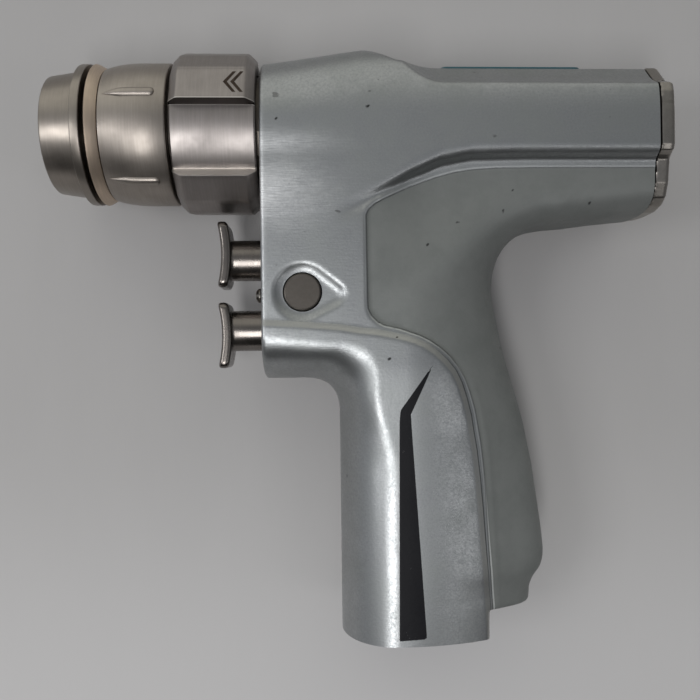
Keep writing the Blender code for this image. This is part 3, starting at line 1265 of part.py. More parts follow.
def make_electronics():
    """Boards, battery contacts and motor leads."""
    top = CONTACT_BLOCK_TOP
    low = top - CONTACT_BLOCK_HEIGHT
    block = upright("battery_contact_block", battery_outline(FIT), low, top, BLACK_PLASTIC)
    length, thick, tall = CONTACT_SIZE
    middle_back = (BATTERY_FRONT + BATTERY_REAR) / 2
    for index in range(CONTACT_COUNT):
        side = (index - (CONTACT_COUNT - 1) / 2) * CONTACT_PITCH
        slot = box("slot", (length + 2 * FIT, thick + 2 * FIT, 6.0), place(middle_back, side, low), BRASS)
        cut(block, slot)
        middle = place(middle_back, side, low + 3.0 - FIT - tall / 2)
        settle(box(f"battery_contact_{index + 1}", (length, thick, tall), middle, BRASS))
    high = BOARD_TOP
    board = upright("controller_board", battery_outline(FIT), high - BOARD_THICKNESS, high, CIRCUIT)
    size = (BATTERY_LENGTH * 0.3, BATTERY_HALF_WIDTH * 0.9, ELECTRONICS_HEIGHT * 0.6)
    middle = place(BATTERY_FRONT + BATTERY_LENGTH * 0.3, 0.0, high + size[2] / 2 - 0.5)
    join(board, box("chip", size, middle, CIRCUIT))
    size = (BOARD_THICKNESS, SENSOR_BOARD_WIDTH, sensor_top() - ELECTRONICS_TOP + 2.0)
    middle = place(sensor_back(), 0.0, sensor_top() - size[2] / 2)
    settle(box("trigger_sensor_board", size, middle, CIRCUIT))
    low = BOARD_TOP + SEAT
    high = AXIS_HEIGHT - MOTOR_BORE_RADIUS
    for index, side in enumerate(lead_sides()):
        origin = place(LEAD_BACK, side, low)
        rod(f"motor_lead_{index + 1}", high - low, LEAD_RADIUS, origin, COPPER, UPRIGHT, 8)


clear_scene()
DRILL = collection("surgical_drill")
make_housing()
make_rear_cap()
make_cap_seal()
make_cap_screws()
make_coupling_body()
make_selector_plunger()
make_release_collar()
make_collar_parts()
make_cone_ring()
make_front_sleeve()
make_selector_ring()
make_drive()
make_triggers()
make_mode_button()
make_electronics()
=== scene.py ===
"""Surgical power drill, dressed for its portrait: cast body, steel coupling, triggers and end cap."""
import json
import math

import bmesh
import bpy
import numpy as np
from mathutils import Matrix, Vector


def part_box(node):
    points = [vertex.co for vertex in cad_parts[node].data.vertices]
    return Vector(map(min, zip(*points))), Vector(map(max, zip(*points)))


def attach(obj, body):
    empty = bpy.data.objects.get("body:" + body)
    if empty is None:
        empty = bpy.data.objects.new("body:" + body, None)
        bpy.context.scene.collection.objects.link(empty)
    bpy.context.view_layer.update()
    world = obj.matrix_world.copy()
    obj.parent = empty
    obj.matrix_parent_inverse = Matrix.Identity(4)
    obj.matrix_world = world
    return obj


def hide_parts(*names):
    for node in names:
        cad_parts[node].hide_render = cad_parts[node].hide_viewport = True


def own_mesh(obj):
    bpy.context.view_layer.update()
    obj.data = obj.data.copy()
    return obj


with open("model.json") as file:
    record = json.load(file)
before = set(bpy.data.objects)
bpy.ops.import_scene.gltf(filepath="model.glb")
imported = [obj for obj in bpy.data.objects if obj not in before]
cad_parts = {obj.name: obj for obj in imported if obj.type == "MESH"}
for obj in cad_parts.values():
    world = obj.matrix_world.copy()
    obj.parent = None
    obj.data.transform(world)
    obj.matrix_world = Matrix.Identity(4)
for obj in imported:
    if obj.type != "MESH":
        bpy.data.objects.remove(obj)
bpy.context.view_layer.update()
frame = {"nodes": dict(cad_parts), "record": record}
nodes = frame["nodes"]

MM = 0.001
NOSE_TO_ORIGIN = 23.9
AXIS_HEIGHT = 125.8

# Body, in millimetres: "back" runs from the barrel's front face, "up" from the drill axis
BARREL_RADIUS = 17.2
SIDE_HALF_WIDTH = 17.0
BODY_LENGTH = 95.5
HUMP_BACK = 24.7
HUMP_HEIGHT = 20.4
ROOF_BACK = 33.0
ROOF_HEIGHT = 14.8
ROOF_HALF_WIDTH = 8.2
ROOF_FOOT = (12.7, 10.1)
SHOULDER = (16.2, 8.4)
ROOF_RUNOUT = 11.0
ROOF_RUNOUT_LIFT = 6.5
BAND_HALF_WIDTH = 17.55
BLOCK_UNDERSIDE = -61.8
HANDLE_FRONT = 18.6
HANDLE_REAR = 54.3
SLEEVE_PROUD = 0.42
SLEEVE_CHAMFER = 1.4
PANEL_SUNK = 0.1
PANEL_ROLL = 0.13
UNDERBODY_HALF_WIDTH = 13.8
BLOCK_ROUND, BLOCK_ROUND_REAR = 10.6, 8.9
GRIP_FRONT_ROUND = 13.5
GRIP_CENTRE = 34.0
GRIP_UNDERSIDE = -119.0
BASE = -125.8
THROAT_BLEND = 17.0
CORNER_BLEND = 8.8
COVE_BLEND = 3.4
LOWER_OVERLAP = 1.5
LIP_PROUD = 0.22
CREASE_DEPTH = 0.45
CREASE_BELOW = 0.3
CREASE_REACH = 1.5
BUTTON_PLACE = (9.7, -41.15)
RECESS_RADIUS = 6.9
RECESS_TIP_RADIUS = 3.1
RECESS_TIP = (7.1, -0.7)
RECESS_DEPTH = 0.85
RECESS_SLOPE = 2.1
BARREL_SQUARENESS = 0.5
LEDGE_ROUND = 2.6
TOP_ROUND = 0.9
ROOF_ROUND = 0.8
ROOF_FOOT_BLEND = 1.2
CUT_ROUND = 0.9
FRONT_ROUND = 1.0
OVERLAP_ROUND = 0.5
TAIL_ROUND = 9.0
PANEL_STEP = 0.45
ROLL_INSIDE, ROLL_WIDTH = 1.6, 0.7
LEDGE_PROUD = 0.12
NOSE_OVERLAP = 5.0
COVE_LEAST = 0.1
SIDE_POWER, TAIL_POWER = 3.0, 0.6
LEAST_ACROSS = 0.02
DEEPEST, OUTERMOST = -30.0, 60.0

# Cosines of three slopes, which turn a height over each into a distance from it
LEDGE_TILT, TOP_TILT, ROOF_TILT = 0.97, 0.9, 0.72

# Where each form fades in, from the first place to the second
REAR_NARROWS_BACK, REAR_NARROWS_UP = (22.0, 42.0), (-42.0, -14.0)
TAIL_NARROWS_BACK = (56.0, 78.0)
ROLL_FADE_UP = (-58.0, -66.0)
LEDGE_FADE_UP = (-52.0, -68.0)
SLEEVE_FADE_UP = (-58.0, -76.0)
LIP_FADE_BACK, LIP_FADE_UP = (18.0, 36.0), (-29.0, -20.0)
CREASE_FADE_BACK = (16.5, 26.0)
GRIP_ROUND_UP, TAIL_ROUND_BACK = (-22.0, -44.0), (60.0, 80.0)
BLOCK_ROUND_BACK = (0.0, 18.0)
FRONT_ROUND_UP = (-64.0, -84.0)
FLAT_SIDE_UP, TAIL_SIDE_BACK = (-20.0, -40.0), (55.0, 75.0)
OVERLAP_FADE_BACK = (20.0, 30.0)
COVE_FADE_BACK = (22.0, 40.0)
LOW_FADE_UP = (-52.0, -64.0)

# Drawn lines and outlines, in millimetres
TOP_LINE = [(-10.0, 27.0), (20.0, 23.2), (HUMP_BACK - 0.4, HUMP_HEIGHT + 0.1), (ROOF_BACK, ROOF_HEIGHT),
            (110.0, ROOF_HEIGHT)]
LEDGE_LINE = [(-10, -27.0), (15.0, -24.0), (23.6, -20.2), (28.3, -17.4), (35.6, -13.4), (42.8, -10.3),
              (50.0, -8.9), (62.1, -8.6), (100.0, -8.6)]
UNDERSIDE_LINE = [(50.0, -24.2), (71.4, -24.0), (78.2, -23.5), (86.1, -22.5), (93.4, -21.8), (99.0, -21.3)]
GRIP_REAR_LINE = [(-127.0, 65.0), (-117.9, 66.5), (-115.3, 66.6), (-112.7, 67.6), (-110.1, 69.5),
                  (-107.5, 70.1), (-104.9, 70.1), (-99.7, 69.6), (-94.5, 68.9), (-89.3, 68.2),
                  (-84.1, 67.5), (-78.9, 66.5), (-73.6, 65.5), (-68.4, 64.2), (-63.2, 62.7),
                  (-58.0, 61.2), (-52.8, 60.0), (-42.0, 57.9), (0.0, 57.0)]
GRIP_WIDTH_LINE = [(-127.0, 14.6), (-80.0, 15.5), (-40.0, 16.55), (0.0, 16.55)]
PANEL_EDGE = [(55.4, -123.9), (55.0, -117.7), (54.1, -106.2), (53.6, -96.4), (53.1, -86.7), (52.7, -81.9),
              (52.2, -77.4), (51.6, -73.8), (50.8, -69.3), (49.6, -65.3), (48.3, -62.0), (46.7, -59.2),
              (44.6, -56.6), (42.1, -54.4), (39.7, -52.8), (37.3, -51.6), (34.9, -50.8), (33.0, -50.1),
              (31.0, -49.6), (29.0, -49.2), (27.3, -48.3), (25.9, -46.9), (25.1, -45.2), (25.0, -43.2)]
PANEL_TOP_LINE = [(24.9, -23.2), (25.5, -21.8), (27.1, -20.4), (29.5, -19.1), (35.5, -16.2), (41.5, -13.95),
                  (46.3, -12.65), (50.5, -12.0), (56.4, -11.6), (65.5, -11.5), (110.0, -11.5)]
SLEEVE_EDGE = [(-8.0, -48.7), (0.2, -49.1), (9.1, -49.6), (18.4, -50.4), (23.1, -51.2), (27.0, -51.6),
               (31.0, -52.4), (33.3, -52.9), (35.7, -53.6), (38.1, -54.7), (40.5, -56.3), (42.9, -58.5),
               (44.8, -60.8), (46.2, -63.6), (47.4, -67.2), (48.4, -71.2), (49.0, -75.3), (49.7, -79.3),
               (50.5, -86.5), (51.1, -93.8), (51.6, -101.1), (53.0, -118.2), (53.4, -127.0)]
STRIPE = [(40.6, -57.9), (34.9, -70.3), (38.3, -124.0), (31.7, -124.3), (32.2, -71.8), (32.4, -69.3)]
LOW = -140.0
PANEL = PANEL_EDGE + PANEL_TOP_LINE + [(110.0, LOW), (55.6, LOW)]
SLEEVE = SLEEVE_EDGE + [(53.4, LOW), (-8.0, LOW)]

LINE_STEP = 0.25
LINE_ROUNDING = 13


# Shape tools


def line_at(line, at):
    """Value of a drawn line at every place, rounded a little at its corners."""
    places = np.array([spot[0] for spot in line], float)
    values = np.array([spot[1] for spot in line], float)
    fine = np.arange(places[0], places[-1], LINE_STEP)
    drawn = np.interp(fine, places, values)
    kernel = np.hanning(LINE_ROUNDING)
    padded = np.pad(drawn, LINE_ROUNDING // 2, mode="reflect", reflect_type="odd")
    return np.interp(at, fine, np.convolve(padded, kernel / kernel.sum(), "valid"))


def ease(low, high, at):
    """Smooth step from 0 at low to 1 at high."""
    share = np.clip((at - low) / (high - low), 0.0, 1.0)
    return share * share * (3.0 - 2.0 * share)


def join(first, second, blend):
    """Union of two shapes, with a fillet in the corner between them."""
    near = np.maximum(blend - np.abs(first - second), 0.0) / blend
    return np.minimum(first, second) - near * near * blend / 4.0


def keep(first, second, blend):
    """Overlap of two shapes, with a rounded edge where they meet."""
    return -join(-first, -second, blend)


def outline_distance(corners, back, up):
    """Distance from a closed outline on the drill's side, below 0 inside it."""
    points = np.array(corners, float)
    ends = np.roll(points, -1, axis=0)
    nearest = np.full(np.shape(back), 1e9)
    inside = np.zeros(np.shape(back), bool)
    for (b0, u0), (b1, u1) in zip(points, ends):
        run, rise = b1 - b0, u1 - u0
        share = np.clip(((back - b0) * run + (up - u0) * rise) / (run * run + rise * rise), 0.0, 1.0)
        nearest = np.minimum(nearest, (back - b0 - share * run) ** 2 + (up - u0 - share * rise) ** 2)
        if u0 != u1:
            crosses = (up < u0) != (up < u1)
            inside ^= crosses & (back < b0 + (up - u0) * run / rise)
    return np.where(inside, -1.0, 1.0) * np.sqrt(nearest)


# Cast body


def wall_width(back):
    """Half width of the barrel's upright wall, which the block below it carries on."""
    return BARREL_RADIUS + (SIDE_HALF_WIDTH - BARREL_RADIUS) * ease(0.0, ROOF_BACK, back)


def barrel(back, side, up):
    """Upper body: round barrel, hump, flat roof with slopes, and the ledge along its side."""
    rise = BARREL_RADIUS + (HUMP_HEIGHT - BARREL_RADIUS) * np.clip(back / HUMP_BACK, 0.0, 1.0)
    share = ease(0.0, ROOF_BACK, back)
    width = wall_width(back)
    power = 2.0 + BARREL_SQUARENESS * share
    across = np.abs(side) / width
    reach = (across ** power + (np.maximum(up, 0.0) / rise) ** power) ** (1.0 / power)
    shape = (reach - 1.0) * width
    floor = line_at(LEDGE_LINE, back) - up
    shape = keep(shape, floor * LEDGE_TILT, LEDGE_ROUND)
    shape = keep(shape, (up - line_at(TOP_LINE, back)) * TOP_TILT, TOP_ROUND)
    steep = (ROOF_HEIGHT - ROOF_FOOT[1]) / (ROOF_FOOT[0] - ROOF_HALF_WIDTH)
    gentle = (ROOF_FOOT[1] - SHOULDER[1]) / (SHOULDER[0] - ROOF_FOOT[0])
    out = np.abs(side) - ROOF_FOOT[0]
    roof = ROOF_FOOT[1] - join(steep * out, gentle * out, ROOF_FOOT_BLEND)
    lift = np.clip(1.0 - (back - ROOF_BACK) / ROOF_RUNOUT, 0.0, 3.0) ** 2 * ROOF_RUNOUT_LIFT
    return keep(shape, (up - roof - lift) * ROOF_TILT, ROOF_ROUND)


def teardrop(back, up):
    """Distance from the thumb recess around the button, below 0 inside it."""
    length = math.hypot(*RECESS_TIP)
    along_b, along_u = RECESS_TIP[0] / length, RECESS_TIP[1] / length
    b, u = back - BUTTON_PLACE[0], up - BUTTON_PLACE[1]
    along = b * along_b + u * along_u
    across = np.abs(u * along_b - b * along_u)
    slope = (RECESS_RADIUS - RECESS_TIP_RADIUS) / length
    level = math.sqrt(1.0 - slope * slope)
    turn = across * -slope + along * level
    round_end = np.hypot(across, along) - RECESS_RADIUS
    tip_end = np.hypot(across, along - length) - RECESS_TIP_RADIUS
    flank = across * level + along * slope - RECESS_RADIUS
    return np.where(turn < 0.0, round_end, np.where(turn > level * length, tip_end, flank))


def half_width(back, up):
    """Half width of the lower body: grip panel, proud sleeve, block and band."""
    base = line_at(GRIP_WIDTH_LINE, up)
    to_rear = np.maximum(ease(*REAR_NARROWS_BACK, back) * ease(*REAR_NARROWS_UP, up),
                         ease(*TAIL_NARROWS_BACK, back))
    panel = base - PANEL_SUNK + (UNDERBODY_HALF_WIDTH - base + PANEL_SUNK) * to_rear
    flank = outline_distance(PANEL, back, up)
    roll = np.exp(-((flank + ROLL_INSIDE) / ROLL_WIDTH) ** 2)
    panel = panel + PANEL_ROLL * roll * ease(*ROLL_FADE_UP, up)
    block = wall_width(back)
    ledge = block + (base + LEDGE_PROUD - block) * ease(*LEDGE_FADE_UP, up)
    sleeve = BAND_HALF_WIDTH + (base + SLEEVE_PROUD - BAND_HALF_WIDTH) * ease(*SLEEVE_FADE_UP, up)
    chamfer = np.clip(1.0 - outline_distance(SLEEVE, back, up) / SLEEVE_CHAMFER, 0.0, 1.0)
    outer = ledge + (sleeve - ledge) * chamfer
    above = ease(*LIP_FADE_UP, up) * ease(*LIP_FADE_BACK, back)
    outer = outer + (panel + LIP_PROUD - outer) * above
    width = panel + (outer - panel) * ease(-PANEL_STEP, PANEL_STEP, flank)
    below = up - line_at(LEDGE_LINE, back) + CREASE_BELOW
    crease = np.exp(-(below / CREASE_REACH) ** 2) * ease(*CREASE_FADE_BACK, back)
    dip = np.clip(-teardrop(back, up) / RECESS_SLOPE, 0.0, 1.0)
    return width - CREASE_DEPTH * crease - RECESS_DEPTH * dip * (1.5 - 0.5 * dip * dip)


def lower_body(back, side, up):
    """Block, handle, grip and underbody as one form that swells from its outline in side view."""
    under = line_at(UNDERSIDE_LINE, back) - up
    behind = back - line_at(GRIP_REAR_LINE, up)
    rear_depth = -join(under, behind, THROAT_BLEND)
    front_depth = -join(BLOCK_UNDERSIDE - up, HANDLE_FRONT - back, CORNER_BLEND)
    to_grip = ease(*GRIP_ROUND_UP, up) * (1.0 - ease(*TAIL_ROUND_BACK, back))
    rear_round = TAIL_ROUND + (line_at(GRIP_REAR_LINE, up) - GRIP_CENTRE - TAIL_ROUND) * to_grip
    block_round = BLOCK_ROUND + (BLOCK_ROUND_REAR - BLOCK_ROUND) * ease(*BLOCK_ROUND_BACK, back)
    front_round = block_round + (GRIP_FRONT_ROUND - block_round) * ease(*FRONT_ROUND_UP, up)
    power = SIDE_POWER - ease(*FLAT_SIDE_UP, up) * (1.0 - TAIL_POWER * ease(*TAIL_SIDE_BACK, back))
    power = np.where(front_depth < front_round, 2.0, power)
    width = half_width(back, up)
    across = np.maximum(np.abs(side) / width, LEAST_ACROSS)
    rear = np.maximum(1.0 - rear_depth / rear_round, 0.0)
    front = np.maximum(1.0 - front_depth / front_round, 0.0)
    reach = (across ** power + rear ** power + front ** power) ** (1.0 / power)
    steep = np.sqrt((across ** (power - 1.0) / width) ** 2 + (rear ** (power - 1.0) / rear_round) ** 2
                    + (front ** (power - 1.0) / front_round) ** 2)
    shape = (reach - 1.0) * reach ** (power - 1.0) / np.maximum(steep, 1e-9)
    shape = np.clip(shape, DEEPEST, OUTERMOST)
    overlap = LOWER_OVERLAP + NOSE_OVERLAP * (1.0 - ease(*OVERLAP_FADE_BACK, back))
    shape = keep(shape, up - line_at(LEDGE_LINE, back) - overlap, OVERLAP_ROUND)
    cut = np.maximum(HANDLE_REAR - back, up - GRIP_UNDERSIDE)
    return keep(shape, -cut, CUT_ROUND)


def cast_body(back, side, up):
    """Whole outer surface of the cast body, without its flat ends and bores."""
    cove = COVE_LEAST + (COVE_BLEND - COVE_LEAST) * ease(*COVE_FADE_BACK, back)
    shape = join(barrel(back, side, up), lower_body(back, side, up), cove)
    return keep(shape, -back, FRONT_ROUND)


SETTLING_ROUNDS = 4


def surface_of(field, low, high, step):
    """Mesh of the surface where a field is 0: one point in each cell that it crosses."""
    axes = [np.arange(a, b + step, step) for a, b in zip(low, high)]
    values = field(*np.meshgrid(*axes, indexing="ij"))
    sizes = np.array(values.shape)
    crossings = np.zeros(tuple(sizes - 1) + (3,))
    counts = np.zeros(tuple(sizes - 1))
    inside = values < 0.0
    faces = []
    for axis in range(3):
        near = [slice(None)] * 3
        far = [slice(None)] * 3
        near[axis], far[axis] = slice(0, -1), slice(1, None)
        near, far = tuple(near), tuple(far)
        change = inside[near] != inside[far]
        spots = np.argwhere(change)
        first, second = values[near][change], values[far][change]
        share = first / (first - second)
        where = spots.astype(float)
        where[:, axis] += share
        sides = [a for a in range(3) if a != axis]
        cells = []
        for shift_a, shift_b in ((0, 0), (-1, 0), (-1, -1), (0, -1)):
            cell = spots.copy()
            cell[:, sides[0]] += shift_a
            cell[:, sides[1]] += shift_b
            cells.append(cell)
        ok = np.all([np.all((cell >= 0) & (cell < sizes - 1), axis=1) for cell in cells], axis=0)
        for cell in cells:
            use = np.all((cell >= 0) & (cell < sizes - 1), axis=1)
            np.add.at(crossings, tuple(cell[use].T), where[use])
            np.add.at(counts, tuple(cell[use].T), 1.0)
        quad = np.stack([np.ravel_multi_index(cell[ok].T, sizes - 1) for cell in cells], 1)
        flip = inside[near][change][ok] == (axis == 1)
        quad[flip] = quad[flip][:, ::-1]
        faces.append(quad)
    used = np.argwhere(counts > 0)
    number = np.full(np.prod(sizes - 1), -1)
    number[np.ravel_multi_index(used.T, sizes - 1)] = np.arange(len(used))
    points = crossings[tuple(used.T)] / counts[tuple(used.T)][:, None]
    points = np.array([axes[a][0] for a in range(3)]) + points * step
    for _ in range(SETTLING_ROUNDS):
        points = settled(field, points, step)
    return points, number[np.concatenate(faces)]


def settled(field, points, step):
    """Points moved onto the surface of a field."""
    reach = 0.04
    value = field(*points.T)
    slope = np.zeros_like(points)
    for axis in range(3):
        shift = np.zeros(3)
        shift[axis] = reach
        slope[:, axis] = (field(*(points + shift).T) - field(*(points - shift).T)) / (2 * reach)
    size = np.maximum((slope ** 2).sum(1), 1e-4)
    move = -(value / size)[:, None] * slope
    length = np.linalg.norm(move, axis=1)
    limit = 0.5 * step
    move *= np.minimum(1.0, limit / np.maximum(length, 1e-9))[:, None]
    return points + move


def to_frame(back, side, up):
    """Places in the CAD's frame, in metres, of points of the body."""
    x, z = np.asarray(back) - NOSE_TO_ORIGIN, np.asarray(up) + AXIS_HEIGHT
    return np.stack([x, np.asarray(side), z], -1) * MM


def at(back, side, up):
    """One place of the body, in metres."""
    return Vector(to_frame(back, side, up))


def new_object(name, mesh):
    """Object of a mesh, in the scene."""
    made = bpy.data.objects.new(name, mesh)
    bpy.context.scene.collection.objects.link(made)
    return made


def object_of(name, shape):
    """Object of a shape that was built face by face."""
    mesh = bpy.data.meshes.new(name)
    shape.to_mesh(mesh)
    shape.free()
    return new_object(name, mesh)


def baked(made):
    """Plain mesh of an object with its modifiers carried out."""
    bpy.context.view_layer.update()
    return bpy.data.meshes.new_from_object(made.evaluated_get(bpy.context.evaluated_depsgraph_get()))


def mesh_from(name, points, faces):
    """Object of points in metres and faces."""
    mesh = bpy.data.meshes.new(name)
    mesh.from_pydata([tuple(point) for point in points], [], [tuple(face) for face in faces])
    mesh.validate()
    return new_object(name, mesh)


def cut_flat(made, place, facing):
    """Cut an object off at a plane and close it there."""
    shape = bmesh.new()
    shape.from_mesh(made.data)
    parts = shape.verts[:] + shape.edges[:] + shape.faces[:]
    cut = bmesh.ops.bisect_plane(shape, geom=parts, dist=1e-7, plane_co=place, plane_no=facing,
                                 clear_outer=True)
    rim = [part for part in cut["geom_cut"] if isinstance(part, bmesh.types.BMEdge)]
    bmesh.ops.edgenet_fill(shape, edges=rim)
    shape.to_mesh(made.data)
    shape.free()


def drilled(made, tools):
    """Take tools away from an object."""
    for tool in tools:
        change = made.modifiers.new("bore", "BOOLEAN")
        change.operation = "DIFFERENCE"
        change.solver = "EXACT"
        change.object = tool
        bored = baked(made)
        made.modifiers.clear()
        made.data = bored
        bpy.data.objects.remove(tool)


def round_uprights(shape, radius):
    """Round the upright edges of a block."""
    upright = [edge for edge in shape.edges if abs(edge.verts[0].co.z - edge.verts[1].co.z) > 0.1 * MM]
    bmesh.ops.bevel(shape, geom=upright, offset=radius * MM, segments=6, profile=0.5, affect="EDGES")


def skin(shape, rows):
    """Faces between each row of points and the next."""
    for first, second in zip(rows, rows[1:]):
        for step in range(len(first) - 1):
            shape.faces.new((first[step], first[step + 1], second[step + 1], second[step]))


def rod(radius, start, end, steps=64):
    """Closed rod between two points in metres."""
    start, end = Vector(start), Vector(end)
    shape = bmesh.new()
    bmesh.ops.create_cone(shape, cap_ends=True, segments=steps, radius1=radius * MM, radius2=radius * MM,
                          depth=(end - start).length)
    turn = (end - start).to_track_quat("Z", "Y").to_matrix().to_4x4()
    bmesh.ops.transform(shape, matrix=Matrix.Translation((start + end) / 2) @ turn, verts=shape.verts)
    return object_of("rod", shape)


# Turned and repeated parts


def outward(made):
    """Merge doubles and turn every face outwards."""
    shape = bmesh.new()
    shape.from_mesh(made.data)
    bmesh.ops.remove_doubles(shape, verts=shape.verts, dist=1e-6)
    bmesh.ops.recalc_face_normals(shape, faces=shape.faces)
    shape.to_mesh(made.data)
    shape.free()


def lathe(name, profile, origin, along, steps=96):
    """Turned solid from (distance, radius) pairs along an axis that starts at a place."""
    direction = Vector(along).normalized()
    side = direction.orthogonal().normalized()
    other = direction.cross(side)
    shape = bmesh.new()
    rings = []
    for distance, radius in profile:
        middle = Vector(origin) + direction * distance * MM
        if radius <= 0.0:
            rings.append([shape.verts.new(middle)])
            continue
        turns = [2 * math.pi * step / steps for step in range(steps)]
        outs = [side * math.cos(turn) + other * math.sin(turn) for turn in turns]
        rings.append([shape.verts.new(middle + out * radius * MM) for out in outs])
    closing = [] if profile[0][1] <= 0.0 else [(rings[-1], rings[0])]
    for first, second in list(zip(rings, rings[1:])) + closing:
        for step in range(steps):
            following = (step + 1) % steps
            corners = [first[step % len(first)], first[following % len(first)],
                       second[following % len(second)], second[step % len(second)]]
            kept = list(dict.fromkeys(corners))
            if len(kept) > 2:
                shape.faces.new(kept)
    bmesh.ops.recalc_face_normals(shape, faces=shape.faces)
    return object_of(name, shape)


def ring_tree():
    """Geometry Nodes tree that sets a unit round the drill axis a number of times."""
    tree = bpy.data.node_groups.new("set_round_the_axis", "GeometryNodeTree")
    face = tree.interface
    face.new_socket("Unit", in_out="INPUT", socket_type="NodeSocketGeometry")
    face.new_socket("Count", in_out="INPUT", socket_type="NodeSocketInt")
    face.new_socket("First angle", in_out="INPUT", socket_type="NodeSocketFloat")
    face.new_socket("Axis height", in_out="INPUT", socket_type="NodeSocketFloat")
    face.new_socket("Finish", in_out="INPUT", socket_type="NodeSocketMaterial")
    face.new_socket("Ring", in_out="OUTPUT", socket_type="NodeSocketGeometry")
    link = tree.links.new
    make = tree.nodes.new
    given, result = make("NodeGroupInput"), make("NodeGroupOutput")
    line = make("GeometryNodeMeshLine")
    line.inputs["Offset"].default_value = (0.0, 0.0, 0.0)
    link(given.outputs["Count"], line.inputs["Count"])
    index = make("GeometryNodeInputIndex")
    share = make("ShaderNodeMath")
    share.operation = "DIVIDE"
    link(index.outputs[0], share.inputs[0])
    link(given.outputs["Count"], share.inputs[1])
    turn = make("ShaderNodeMath")
    turn.operation = "MULTIPLY_ADD"
    turn.inputs[1].default_value = 2 * math.pi
    link(share.outputs[0], turn.inputs[0])
    link(given.outputs["First angle"], turn.inputs[2])
    spin = make("ShaderNodeCombineXYZ")
    link(turn.outputs[0], spin.inputs["X"])
    place = make("GeometryNodeInstanceOnPoints")
    link(line.outputs["Mesh"], place.inputs["Points"])
    link(given.outputs["Unit"], place.inputs["Instance"])
    link(spin.outputs["Vector"], place.inputs["Rotation"])
    real = make("GeometryNodeRealizeInstances")
    link(place.outputs["Instances"], real.inputs["Geometry"])
    weld = make("GeometryNodeMergeByDistance")
    weld.inputs["Distance"].default_value = 1e-5
    link(real.outputs["Geometry"], weld.inputs["Geometry"])
    lift = make("ShaderNodeCombineXYZ")
    link(given.outputs["Axis height"], lift.inputs["Z"])
    shift = make("GeometryNodeTransform")
    link(weld.outputs["Geometry"], shift.inputs["Geometry"])
    link(lift.outputs["Vector"], shift.inputs["Translation"])
    coat = make("GeometryNodeSetMaterial")
    link(shift.outputs["Geometry"], coat.inputs["Geometry"])
    link(given.outputs["Finish"], coat.inputs["Material"])
    link(coat.outputs["Geometry"], result.inputs["Ring"])
    return tree


def set_round(unit, name, count, first_angle, finish):
    """Bake a unit that repeats round the drill axis into one plain mesh."""
    change = unit.modifiers.new("ring", "NODES")
    change.node_group = RING_TREE
    sizes = {"Count": count, "First angle": math.radians(first_angle), "Axis height": AXIS_HEIGHT * MM,
             "Finish": finish}
    for item in RING_TREE.interface.items_tree:
        if item.name in sizes:
            change[item.identifier] = sizes[item.name]
    mesh = baked(unit)
    bpy.data.objects.remove(unit)
    mesh.name = name
    return new_object(name, mesh)


# Finishes


EVEN = (1.0, 1.0, 1.0)
CAST_METAL = 0.94


